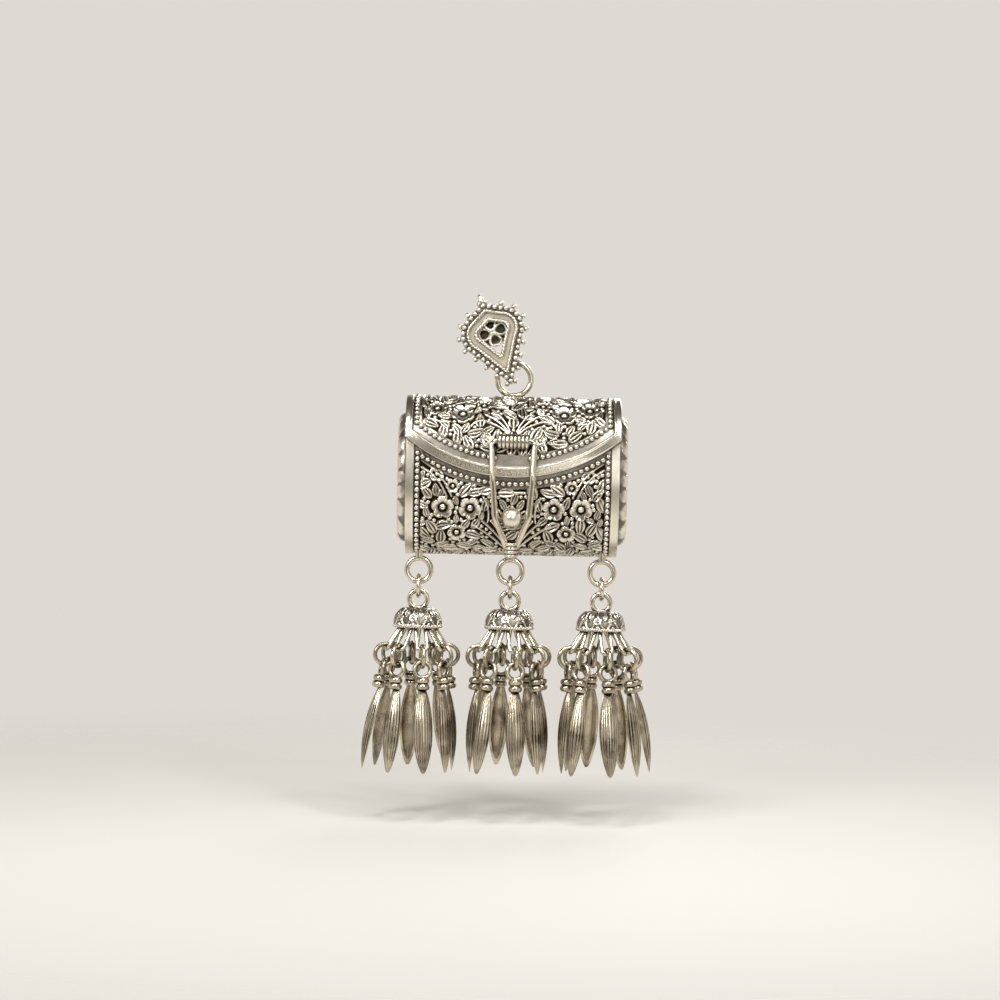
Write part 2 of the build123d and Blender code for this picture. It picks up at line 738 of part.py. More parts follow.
# One drop, hung from its hook at the origin and facing along X: a jump ring, and an eye with two
# beads and a hollow leaf
jump_radius = (jump_outer - jump_wire) / 2
eye_radius = (eye_outer - eye_wire) / 2
jump_z = hook_wire / 2 + jump_wire / 2 + drop_gap - jump_radius
eye_z = jump_z - jump_radius + jump_wire / 2 + eye_wire / 2 + drop_gap - eye_radius
bead_top_z = eye_z - eye_radius
leaf_top_z = bead_top_z - 2 * bead_height
leaf_round = hypot(leaf_width / 2, leaf_axis_back)


def leaf_spindle(thinner):
    """A turned spindle about the leaf's axis, drawn in by a thickness."""
    high = leaf_top_z + leaf_lap
    low = leaf_top_z - leaf_length
    widest = leaf_top_z - leaf_length * leaf_widest_share
    axis_x = leaf_middle - leaf_axis_back
    with BuildPart() as spindle:
        with BuildSketch(Plane.XZ):
            with BuildLine():
                Line((axis_x, high), (axis_x + leaf_neck - thinner, high))
                ThreePointArc(
                    (axis_x + leaf_neck - thinner, high),
                    (axis_x + leaf_round - thinner, widest),
                    (axis_x + leaf_point - thinner, low),
                )
                Line((axis_x + leaf_point - thinner, low), (axis_x, low))
                Line((axis_x, low), (axis_x, high))
            make_face()
        revolve(axis=Axis((axis_x, 0, 0), (0, 0, 1)))
    return spindle.part


with BuildPart() as leaf:
    add(leaf_spindle(0))
    add(leaf_spindle(leaf_metal), mode=Mode.SUBTRACT)
    split(bisect_by=Plane(origin=(leaf_middle, 0, 0), z_dir=(1, 0, 0)), keep=Keep.TOP)

with BuildPart() as drop_body:
    with Locations(Location((0, 0, eye_z), (0, 90, 0))):
        Torus(eye_radius, eye_wire / 2)
    for step in (0.5, 1.5):
        with Locations((0, 0, bead_top_z - step * bead_height)):
            Cylinder(bead_radius, bead_height)
    bead_edges = [e for e in drop_body.edges().filter_by(GeomType.CIRCLE) if e.radius == bead_radius]
    fillet(bead_edges, bead_round)
    add(leaf.part)

with BuildPart() as jump_ring:
    with Locations(Location((0, 0, jump_z), (90, 0, 0))):
        Torus(jump_radius, jump_wire / 2)


def faces_neighbour(number, heading):
    """True for a drop that hangs on the side where the next tassel is."""
    side_on = cos(radians(heading))
    near = cos(radians(neighbour_spread))
    return (side_on > near and number < 2) or (side_on < -near and number > 0)


for number, (name, place, turn) in enumerate(zip(tassel_names, tassel_places, tassel_turns)):
    for step in range(hook_count):
        heading = turn + step * hook_step
        lean = lean_free + lean_spread * sin(lean_rhythm * (step + hook_count * number))
        if faces_neighbour(number, heading):
            lean = lean_facing
        foot = Vector(hook_foot_radius, 0, 0).rotate(Axis.Z, heading) + Vector(place, tassel_y, hook_z)
        hang = Location(foot) * Rot(0, 0, heading) * Rot(0, -lean, 0)
        with BuildPart() as drop:
            with Locations(hang):
                add(drop_body.part)
                add(jump_ring.part)
        drop.part.label = f"{name}_drop_{step + 1}"
        export_step(drop.part, f"parts/{name}_drop_{step + 1}.step")
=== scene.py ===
import logging
import math
from dataclasses import dataclass
from enum import Enum
from functools import partial
from typing import Any, Callable, Iterable, Sequence

import bpy
import numpy as np
from mathutils import Matrix, Vector


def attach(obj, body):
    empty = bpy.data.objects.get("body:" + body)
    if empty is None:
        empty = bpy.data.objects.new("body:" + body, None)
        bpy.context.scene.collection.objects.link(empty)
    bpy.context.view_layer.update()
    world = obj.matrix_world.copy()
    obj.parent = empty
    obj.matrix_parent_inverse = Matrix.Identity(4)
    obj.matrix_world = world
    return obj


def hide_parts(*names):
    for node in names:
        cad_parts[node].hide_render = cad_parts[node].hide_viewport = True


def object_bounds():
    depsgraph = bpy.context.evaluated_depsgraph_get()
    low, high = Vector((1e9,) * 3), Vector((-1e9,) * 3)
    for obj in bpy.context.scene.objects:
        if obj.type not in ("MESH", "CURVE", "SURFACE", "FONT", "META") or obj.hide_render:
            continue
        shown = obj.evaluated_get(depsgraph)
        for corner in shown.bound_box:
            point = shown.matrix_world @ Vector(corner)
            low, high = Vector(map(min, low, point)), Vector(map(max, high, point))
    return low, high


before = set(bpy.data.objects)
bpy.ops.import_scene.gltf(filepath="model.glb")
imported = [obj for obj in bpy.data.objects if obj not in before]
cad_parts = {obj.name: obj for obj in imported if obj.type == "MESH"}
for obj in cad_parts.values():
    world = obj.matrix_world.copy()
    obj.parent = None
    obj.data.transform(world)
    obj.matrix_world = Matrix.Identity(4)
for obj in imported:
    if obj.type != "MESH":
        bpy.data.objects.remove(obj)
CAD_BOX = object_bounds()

# Looks of a silver amulet box worn on a chain. Shapes are worked out in millimetres in the part's
# own frame: X along the box, Y to the back, Z up, with the origin in the bail's chain tube.

MM = 0.001
TAU = 2 * math.pi
QUARTER = math.pi / 2
CREASE = math.radians(40)
TINY = 1e-6
log = logging.getLogger("amulet_box")

Faces = list[tuple[int, ...]]
Place = tuple[float, float]
Point = tuple[float, float, float]


def linear(colour: str) -> tuple[float, float, float, float]:
    """Turn an sRGB hex colour to linear light.

    Args:
        colour: six hex digits after a hash sign.

    Returns:
        Red, green, blue and an alpha of one.
    """
    parts = [int(colour[i : i + 2], 16) / 255 for i in (1, 3, 5)]
    red, green, blue = (c / 12.92 if c <= 0.04045 else ((c + 0.055) / 1.055) ** 2.4 for c in parts)
    return red, green, blue, 1.0


def add_node(
    tree: bpy.types.NodeTree,
    kind: str,
    settings: dict[Any, Any] | None = None,
    links: dict[Any, Any] | None = None,
) -> bpy.types.Node:
    """Add a node with its settings and links.

    Args:
        tree: the node tree it joins.
        kind: Blender's name for the node type.
        settings: values by input name or number, or by property name.
        links: output sockets by the input name or number they feed.

    Returns:
        The new node.
    """
    node = tree.nodes.new(kind)
    for key, value in (settings or {}).items():
        if isinstance(key, int) or key in node.inputs:
            node.inputs[key].default_value = value
        else:
            setattr(node, key, value)
    for key, socket in (links or {}).items():
        tree.links.new(socket, node.inputs[key])
    return node


class Slot(Enum):
    """The record's material slots."""

    CHASED = "chased_silver"
    BEADED = "beaded_silver"
    POLISHED = "polished_silver"
    RIBBED = "ribbed_silver"
    WIRE = "silver_wire"


@dataclass(frozen=True)
class SilverFinish:
    """One way that the silver was worked, and what that leaves on its surface.

    Recess and blotch say how much oxide stays in the low places of the chasing and in the haze of
    tarnish. The crevice amount darkens shut corners and places between parts by ambient occlusion:
    painted shade, which also stands for the oxide that sits in corners. Marks are tool marks, long
    where they are stretched. Real scratches and draw lines are too fine to show, so theirs are
    drawn a third of a millimetre wide.
    """

    name: str
    slot: Slot
    bright: str
    oxide: str
    roughness: float
    oxide_roughness: float
    recess: float
    crevice_oxide_and_shade: float
    crevice_mm: float
    blotch: float
    blotch_mm: float
    marks_mm: float
    marks_depth_mm: float
    marks_stretch: Point = (1.0, 1.0, 1.0)
    marks_gloss: float = 0.12
    open_sky: float = 0.85
    shut_in: float = 0.25
    haze_starts: float = 0.42
    haze_full: float = 0.72

    def material(self) -> bpy.types.Material:
        """Build the finish: bright high up, sulphide low down, painted shade in shut corners.

        Returns:
            The material, made once and then reused.
        """
        made = bpy.data.materials.get(self.name)
        if made:
            return made
        made = bpy.data.materials.new(self.name)
        made.use_nodes = True
        made.node_tree.nodes.clear()
        node = partial(add_node, made.node_tree)
        place = node("ShaderNodeTexCoord").outputs["Object"]
        low = node("ShaderNodeAttribute", {"attribute_name": "patina"}).outputs["Fac"]
        # Occlusion here darkens shut corners and gaps between parts: painted shade.
        sky = node("ShaderNodeAmbientOcclusion", {"samples": 6, "Distance": self.crevice_mm * MM})
        blotches = node(
            "ShaderNodeTexNoise",
            {"Scale": 1 / (self.blotch_mm * MM), "Detail": 5.0, "Roughness": 0.6},
            {"Vector": place},
        )
        stretched = node("ShaderNodeMapping", {"Scale": self.marks_stretch}, {"Vector": place})
        marks = node(
            "ShaderNodeTexNoise",
            {"Scale": 1 / (self.marks_mm * MM), "Detail": 4.0, "Roughness": 0.55},
            {"Vector": stretched.outputs["Vector"]},
        )
        # Painted shade: the more shut in a place is, the more oxide colour it gets.
        shut = node(
            "ShaderNodeMapRange",
            {"From Min": self.open_sky, "From Max": self.shut_in, "To Max": self.crevice_oxide_and_shade},
            {"Value": sky.outputs["AO"]},
        )
        # Oxide in the low places of the chasing, plus the painted shade of shut corners.
        recess = node(
            "ShaderNodeMath",
            {"operation": "MULTIPLY_ADD", 1: self.recess},
            {0: low, 2: shut.outputs["Result"]},
        )
        haze = node(
            "ShaderNodeMapRange",
            {"From Min": self.haze_starts, "From Max": self.haze_full, "To Max": self.blotch},
            {"Value": blotches.outputs["Fac"]},
        )
        dark = node(
            "ShaderNodeMath",
            {"operation": "ADD", "use_clamp": True},
            {0: recess.outputs["Value"], 1: haze.outputs["Result"]},
        ).outputs["Value"]
        # Inputs 6 and 7 and output 2 are the colour sockets of a mix.
        colour = node(
            "ShaderNodeMix",
            {"data_type": "RGBA", 6: linear(self.bright), 7: linear(self.oxide)},
            {0: dark},
        )
        gloss = node(
            "ShaderNodeMapRange",
            {"To Min": self.roughness, "To Max": self.oxide_roughness},
            {"Value": dark},
        )
        worn = node(
            "ShaderNodeMath",
            {"operation": "MULTIPLY_ADD", 1: self.marks_gloss},
            {0: marks.outputs["Fac"], 2: gloss.outputs["Result"]},
        )
        bump = node(
            "ShaderNodeBump",
            {"Strength": 1.0, "Distance": self.marks_depth_mm * MM},
            {"Height": marks.outputs["Fac"]},
        )
        looks = {
            "Base Color": colour.outputs[2],
            "Roughness": worn.outputs["Value"],
            "Normal": bump.outputs["Normal"],
        }
        shader = node("ShaderNodeBsdfPrincipled", {"Metallic": 1.0}, looks)
        node("ShaderNodeOutputMaterial", links={"Surface": shader.outputs["BSDF"]})
        return made


# Silver sheet pushed out from behind and chased from the front, then oxidised and rubbed: warm
# bright ridges, brown-black ground, punch marks about a quarter of a millimetre wide.
CHASED = SilverFinish(
    name="silver_sheet_chased_and_oxidised", slot=Slot.CHASED, bright="#F0E8D8", oxide="#21180E",
    roughness=0.12, oxide_roughness=0.38, recess=1.0, crevice_oxide_and_shade=0.7, crevice_mm=0.8,
    blotch=0.24, blotch_mm=3.0, marks_mm=0.28, marks_depth_mm=0.012,
)
# Silver sheet burnished with a steel and worn in use: soft mirror with hair scratches and a thin
# yellow haze of tarnish.
BURNISHED = SilverFinish(
    name="silver_sheet_burnished_and_worn", slot=Slot.POLISHED, bright="#F0E9DA", oxide="#362B1E",
    roughness=0.24, oxide_roughness=0.4, recess=0.85, crevice_oxide_and_shade=0.8, crevice_mm=1.2,
    blotch=0.25, blotch_mm=4.0, marks_mm=0.35, marks_depth_mm=0.004,
    marks_stretch=(1.0, 1.0, 0.12),
)
# Silver shot melted to balls and soldered in rows: bright round tops, and between them black solder
# seams, dark with oxide and with painted shade.
GRANULES = SilverFinish(
    name="silver_granules_fused_in_rows", slot=Slot.BEADED, bright="#F4EDDF", oxide="#1E160D",
    roughness=0.08, oxide_roughness=0.4, recess=0.95, crevice_oxide_and_shade=0.9, crevice_mm=0.6,
    blotch=0.16, blotch_mm=2.0, marks_mm=0.3, marks_depth_mm=0.004,
)
# Round wire pulled through a draw plate: smooth, with faint lines and dark contact places, which
# are painted shade.
DRAWN_WIRE = SilverFinish(
    name="silver_wire_drawn_and_worn", slot=Slot.WIRE, bright="#E4DAC6", oxide="#251B10",
    roughness=0.11, oxide_roughness=0.42, recess=0.95, crevice_oxide_and_shade=0.9, crevice_mm=1.2,
    blotch=0.3, blotch_mm=2.5, marks_mm=0.3, marks_depth_mm=0.004,
)
# Two fine wires twisted, soldered down and rubbed: bright slanting ridges, with black oxide and
# painted shade between them.
TWISTED_WIRE = SilverFinish(
    name="silver_wire_twisted_and_soldered", slot=Slot.WIRE, bright="#F4EDDF", oxide="#1C140B",
    roughness=0.08, oxide_roughness=0.4, recess=0.95, crevice_oxide_and_shade=1.0, crevice_mm=0.5,
    blotch=0.12, blotch_mm=2.0, marks_mm=0.3, marks_depth_mm=0.004,
)
# Thin leaf blanks chased with lengthwise lines and dished: streaky satin outside, bright hollow
# inside. Their wide crevice reach paints shade where the drops and the cap hang close together.
LINED_LEAF = SilverFinish(
    name="silver_leaf_chased_with_lines", slot=Slot.RIBBED, bright="#D2C6AF", oxide="#2A1E10",
    roughness=0.12, oxide_roughness=0.42, recess=1.0, crevice_oxide_and_shade=1.0, crevice_mm=3.6,
    blotch=0.75, blotch_mm=3.5, marks_mm=0.3, marks_depth_mm=0.008,
    marks_stretch=(1.0, 1.0, 0.1),
)
# Plate flattened with a planishing hammer: many shallow flats, so it stays pale from all sides.
PLANISHED = SilverFinish(
    name="silver_plate_planished", slot=Slot.POLISHED, bright="#DDD4C1", oxide="#2E2417",
    roughness=0.32, oxide_roughness=0.45, recess=0.9, crevice_oxide_and_shade=0.9, crevice_mm=0.9,
    blotch=0.2, blotch_mm=2.5, marks_mm=0.7, marks_depth_mm=0.03,
)
# Tube behind the bail that no hand reaches: grey-brown sulphide with a dull sheen.
TARNISHED = SilverFinish(
    name="silver_sheet_left_tarnished", slot=Slot.POLISHED, bright="#776F60", oxide="#221C16",
    roughness=0.32, oxide_roughness=0.5, recess=0.9, crevice_oxide_and_shade=0.9, crevice_mm=1.6,
    blotch=0.45, blotch_mm=2.5, marks_mm=0.35, marks_depth_mm=0.006,
)


@dataclass
class Shape:
    """Points in millimetres with faces between them and a patina value for each point."""

    points: np.ndarray
    faces: Faces
    patina: np.ndarray

    def placed(self, matrix: Matrix) -> "Shape":
        """The same shape moved by a matrix in millimetres."""
        turn = np.array(matrix)
        return Shape(self.points @ turn[:3, :3].T + turn[:3, 3], self.faces, self.patina)

    def piece(
        self, name: str, body: str, finish: SilverFinish, replaces: Sequence[str] = (),
        creased: bool = False,
    ) -> bpy.types.Object:
        """Make the object that stands for this shape.

        Args:
            name: the piece's name.
            body: the CAD body that it rides on.
            finish: what it is made of.
            replaces: CAD nodes that it stands for.
            creased: whether its square edges stay sharp.

        Returns:
            The new object.
        """
        mesh = bpy.data.meshes.new(name)
        mesh.from_pydata((self.points * MM).tolist(), [], self.faces)
        mesh.update()
        tone = mesh.attributes.new("patina", "FLOAT", "POINT")
        tone.data.foreach_set("value", np.clip(self.patina, 0, 1).astype(np.float32))
        mesh.polygons.foreach_set("use_smooth", [True] * len(mesh.polygons))
        if creased:
            mesh.set_sharp_from_angle(angle=CREASE)
        mesh.materials.append(finish.material())
        made = bpy.data.objects.new(name, mesh)
        bpy.context.scene.collection.objects.link(made)
        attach(made, body)
        if replaces:
            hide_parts(*replaces)
        log.info("%s rides on %s: %d points", name, body, len(self.points))
        return made


def joined(shapes: Iterable[Shape]) -> Shape:
    """One shape from several, each still separate inside it."""
    parts = list(shapes)
    faces: Faces = []
    start = 0
    for part in parts:
        faces += [tuple(i + start for i in face) for face in part.faces]
        start += len(part.points)
    return Shape(
        np.concatenate([p.points for p in parts]), faces, np.concatenate([p.patina for p in parts])
    )


def smooth(low: float, high: float, value: np.ndarray) -> np.ndarray:
    """A soft step from 0 at low to 1 at high; low may be the larger."""
    t = np.clip((value - low) / (high - low), 0, 1)
    return t * t * (3 - 2 * t)


def ridge(middle: float, width: float, value: np.ndarray) -> np.ndarray:
    """A soft ridge of height 1 over a middle value."""
    return np.exp(-(((value - middle) / width) ** 2))


def dome(share: np.ndarray) -> np.ndarray:
    """A round dome: 1 where the share is 0, and 0 where it is 1 or more."""
    return np.sqrt(np.clip(1 - share**2, 0, 1))


def turns(count: int) -> np.ndarray:
    """Even angles once round."""
    return np.linspace(0, TAU, count, endpoint=False)


def run_along(u: np.ndarray, v: np.ndarray) -> np.ndarray:
    """Length along a flat line of points from its start to each of them."""
    return np.concatenate([[0], np.cumsum(np.hypot(np.diff(u), np.diff(v)))])


def even_places(u: np.ndarray, v: np.ndarray, pitch: float) -> tuple[np.ndarray, np.ndarray]:
    """Evenly spaced places along a line, both ends included."""
    run = run_along(u, v)
    stops = np.linspace(0, run[-1], max(2, round(run[-1] / pitch)) + 1)
    return np.interp(stops, run, u), np.interp(stops, run, v)


def flipped(faces: Faces) -> Faces:
    """The same faces seen from their other side."""
    return [tuple(reversed(face)) for face in faces]


def grid_faces(
    rows: int, columns: int, first: int = 0, wrap: bool = False, loop: bool = False
) -> Faces:
    """Quads over a grid of points stored row by row.

    Args:
        rows: how many rows of points.
        columns: points in a row.
        first: number of the first point.
        wrap: whether the last column joins the first.
        loop: whether the last row joins the first.

    Returns:
        The quads.
    """
    across = columns if wrap else columns - 1
    faces: Faces = []
    for r in range(rows if loop else rows - 1):
        here, there = first + r * columns, first + (r + 1) % rows * columns
        faces += [
            (here + c, here + (c + 1) % columns, there + (c + 1) % columns, there + c)
            for c in range(across)
        ]
    return faces


def stack_faces(rings: int, sides: int) -> Faces:
    """Quads over a stack of rings of points, with one face over each end."""
    last = (rings - 1) * sides
    ends = [tuple(range(sides - 1, -1, -1)), tuple(range(last, last + sides))]
    return grid_faces(rings, sides, wrap=True) + ends


def tube(path: np.ndarray, radius: float, sides: int) -> Shape:
    """A round wire along a closed path.

    Args:
        path: points along its middle.
        radius: half the wire's thickness.
        sides: points round the wire.

    Returns:
        The wire.
    """
    steep = 0.9
    ahead = np.roll(path, -1, 0) - np.roll(path, 1, 0)
    ahead /= np.linalg.norm(ahead, axis=1)[:, None]
    side = np.empty_like(path)
    guess = np.eye(3)[2 if abs(ahead[0][2]) < steep else 0]
    for i, way in enumerate(ahead):
        guess = guess - way * (guess @ way)
        guess = guess / np.linalg.norm(guess)
        side[i] = guess
    up = np.cross(ahead, side)
    twist = math.atan2(float(side[0] @ up[-1]), float(side[0] @ side[-1]))
    turn = np.linspace(0, twist, len(path))[:, None]
    side, up = side * np.cos(turn) + up * np.sin(turn), up * np.cos(turn) - side * np.sin(turn)
    angles = turns(sides)[None, :, None]
    ring = np.cos(angles) * side[:, None] + np.sin(angles) * up[:, None]
    points = (path[:, None] + radius * ring).reshape(-1, 3)
    faces = grid_faces(len(path), sides, wrap=True, loop=True)
    return Shape(points, faces, np.zeros(len(points)))


def circle(
    centre: Sequence[float], radius: float, u: Sequence[float], v: Sequence[float], count: int
) -> np.ndarray:
    """Points round a circle that lies along two directions."""
    a = turns(count)[:, None]
    return np.array(centre) + radius * (np.cos(a) * np.array(u) + np.sin(a) * np.array(v))


def ball(centre: Sequence[float], radius: float) -> Shape:
    """A granule: a round ball."""
    rings, sides = 8, 14
    tilt = np.linspace(0, math.pi, rings + 1)[1:-1]
    turn = turns(sides)
    spread = (np.cos(turn), np.sin(turn))
    columns = [np.outer(np.sin(tilt), way).ravel() for way in spread]
    shell = np.stack([*columns, np.outer(np.cos(tilt), np.ones(sides)).ravel()], 1)
    points = np.concatenate([shell, [[0, 0, 1], [0, 0, -1]]]) * radius + np.array(centre)
    faces = flipped(grid_faces(rings - 1, sides, wrap=True))
    top, low, last = len(shell), len(shell) + 1, (rings - 2) * sides
    faces += [(top, c, (c + 1) % sides) for c in range(sides)]
    faces += [(low, last + (c + 1) % sides, last + c) for c in range(sides)]
    return Shape(points, faces, np.zeros(len(points)))


def turned(profile: Sequence[Place], sides: int) -> Shape:
    """A shape turned about Z from a profile of radius and height, from its top down.

    Args:
        profile: radius and height pairs; the first and last are closed with a flat disc.
        sides: points round it.

    Returns:
        The turned shape.
    """
    a = turns(sides)
    points = np.concatenate(
        [np.stack([r * np.cos(a), r * np.sin(a), np.full(sides, z)], 1) for r, z in profile]
    )
    return Shape(points, flipped(stack_faces(len(profile), sides)), np.zeros(len(points)))


def rope(path: np.ndarray, thickness: float, lay: float) -> Shape:
    """Two wires twisted together along a closed path.

    Args:
        path: evenly spaced points along the rope's middle.
        thickness: the rope's whole thickness.
        lay: length of one full twist.

    Returns:
        Both strands.
    """
    steps_in_turn, strand_sides, strand_out, strand_radius = 10, 7, 0.25, 0.27
    steps = np.linalg.norm(np.roll(path, -1, 0) - path, axis=1)
    length = float(steps.sum())
    twists = max(2, round(length / lay))
    place = np.concatenate([[0], np.cumsum(steps)])
    loop = np.concatenate([path, path[:1]])
    even = np.linspace(0, length, twists * steps_in_turn, endpoint=False)
    middle = np.stack([np.interp(even, place, loop[:, k]) for k in range(3)], 1)
    ahead = np.roll(middle, -1, 0) - np.roll(middle, 1, 0)
    ahead /= np.linalg.norm(ahead, axis=1)[:, None]
    normal = np.cross(path[1] - path[0], path[len(path) // 3] - path[0])
    normal /= np.linalg.norm(normal)
    side = np.cross(ahead, normal)
    angle = (even / length * twists * TAU)[:, None]
    strands = []
    for phase in (0, math.pi):
        wave = np.cos(angle + phase) * side + np.sin(angle + phase) * normal
        strand = middle + wave * thickness * strand_out
        strands.append(tube(strand, thickness * strand_radius, strand_sides))
    return joined(strands)


def sheet(front: np.ndarray, back: np.ndarray, patina: np.ndarray) -> Shape:
    """A closed sheet between a fine front and a coarser back.

    Args:
        front: rows by columns by 3, each count one more than a multiple of the stride.
        back: the same places on the other side.
        patina: a value for each front point.

    Returns:
        The closed sheet, facing outwards.
    """
    stride = 6
    rows, columns = front.shape[:2]
    rough = back[::stride, ::stride]
    low_rows, low_columns = rough.shape[:2]
    first = rows * columns
    fine_at = np.arange(first).reshape(rows, columns)
    rough_at = first + np.arange(low_rows * low_columns).reshape(low_rows, low_columns)
    faces = grid_faces(rows, columns) + flipped(grid_faces(low_rows, low_columns, first))
    sides = (
        (fine_at[0], rough_at[0]),
        (fine_at[:, -1], rough_at[:, -1]),
        (fine_at[-1, ::-1], rough_at[-1, ::-1]),
        (fine_at[::-1, 0], rough_at[::-1, 0]),
    )
    for fine, coarse in sides:
        fine, coarse = fine.tolist(), coarse.tolist()
        for j in range(len(coarse) - 1):
            span = range(j * stride, (j + 1) * stride)
            faces += [(fine[i + 1], fine[i], coarse[j]) for i in span]
            faces.append((fine[(j + 1) * stride], coarse[j], coarse[j + 1]))
    r, c = rows // 2, columns // 2
    facing = np.cross(front[r, c + 1] - front[r, c], front[r + 1, c] - front[r, c])
    if facing @ (front[r, c] - back[r, c]) < 0:
        faces = flipped(faces)
    points = np.concatenate([front.reshape(-1, 3), rough.reshape(-1, 3)])
    tones = np.concatenate([patina.ravel(), patina[::stride, ::stride].ravel()])
    return Shape(points, faces, tones)


def walled(outer: np.ndarray, inner: np.ndarray, ends: Place, closed: bool) -> Shape:
    """A wall of sheet that runs straight along X.

    Args:
        outer: depth and height of places along its outer side, down the front first.
        inner: the same places on its inner side.
        ends: where it starts and ends along X.
        closed: whether the section is a loop.

    Returns:
        The closed wall, facing outwards.
    """
    tone, count = 0.25, len(outer)
    sides = ((ends[0], outer), (ends[1], outer), (ends[1], inner), (ends[0], inner))
    points = np.concatenate([np.column_stack([np.full(count, x), side]) for x, side in sides])
    faces = grid_faces(4, count, wrap=closed, loop=True)
    if not closed:
        first, last = (tuple(range(c, 4 * count, count)) for c in (0, count - 1))
        faces += [first, (last[0], *last[:0:-1])]
    return Shape(points, faces, np.full(len(points), tone))


def rounded_cap(points: np.ndarray, patina: np.ndarray, wall: np.ndarray) -> Shape:
    """A closed cap from rings of points, with a straight wall behind its last ring.

    Args:
        points: rings by sides by 3, from the middle out.
        patina: a value for each of them.
        wall: the ring behind the last one.

    Returns:
        The closed cap, facing outwards.
    """
    wall_tone = 0.8
    rings, sides = points.shape[:2]
    flat = points.reshape(-1, 3)
    faces = stack_faces(rings + 1, sides)
    facing = np.cross(points[1, 1] - points[1, 0], points[2, 0] - points[1, 0])
    if facing @ (flat.mean(0) - wall.mean(0)) < 0:
        faces = flipped(faces)
    tones = np.concatenate([patina.ravel(), np.full(sides, wall_tone)])
    return Shape(np.concatenate([flat, wall]), faces, tones)


def bow(start: Sequence[float], end: Sequence[float], sag: float) -> np.ndarray:
    """A bent line between two places, its middle pushed aside by sag."""
    steps = 12
    a, b = np.array(start, float), np.array(end, float)
    t = np.linspace(0, 1, steps)[:, None]
    aside = np.array([-(b - a)[1], (b - a)[0]]) / max(float(np.hypot(*(b - a))), TINY)
    return a + (b - a) * t + aside * sag * 4 * t * (1 - t)


def arc_through(a: Place, b: Place, c: Place, count: int) -> np.ndarray:
    """Places along the arc from a over b to c."""
    (ax, ay), (bx, by), (cx, cy) = a, b, c
    d = 2 * (ax * (by - cy) + bx * (cy - ay) + cx * (ay - by))
    sa, sb, sc = ax * ax + ay * ay, bx * bx + by * by, cx * cx + cy * cy
    mx = (sa * (by - cy) + sb * (cy - ay) + sc * (ay - by)) / d
    my = (sa * (cx - bx) + sb * (ax - cx) + sc * (bx - ax)) / d
    angles = np.unwrap([math.atan2(y - my, x - mx) for x, y in (a, b, c)])
    t = np.linspace(angles[0], angles[2], count)
    r = math.hypot(ax - mx, ay - my)
    return np.stack([mx + r * np.cos(t), my + r * np.sin(t)], 1)


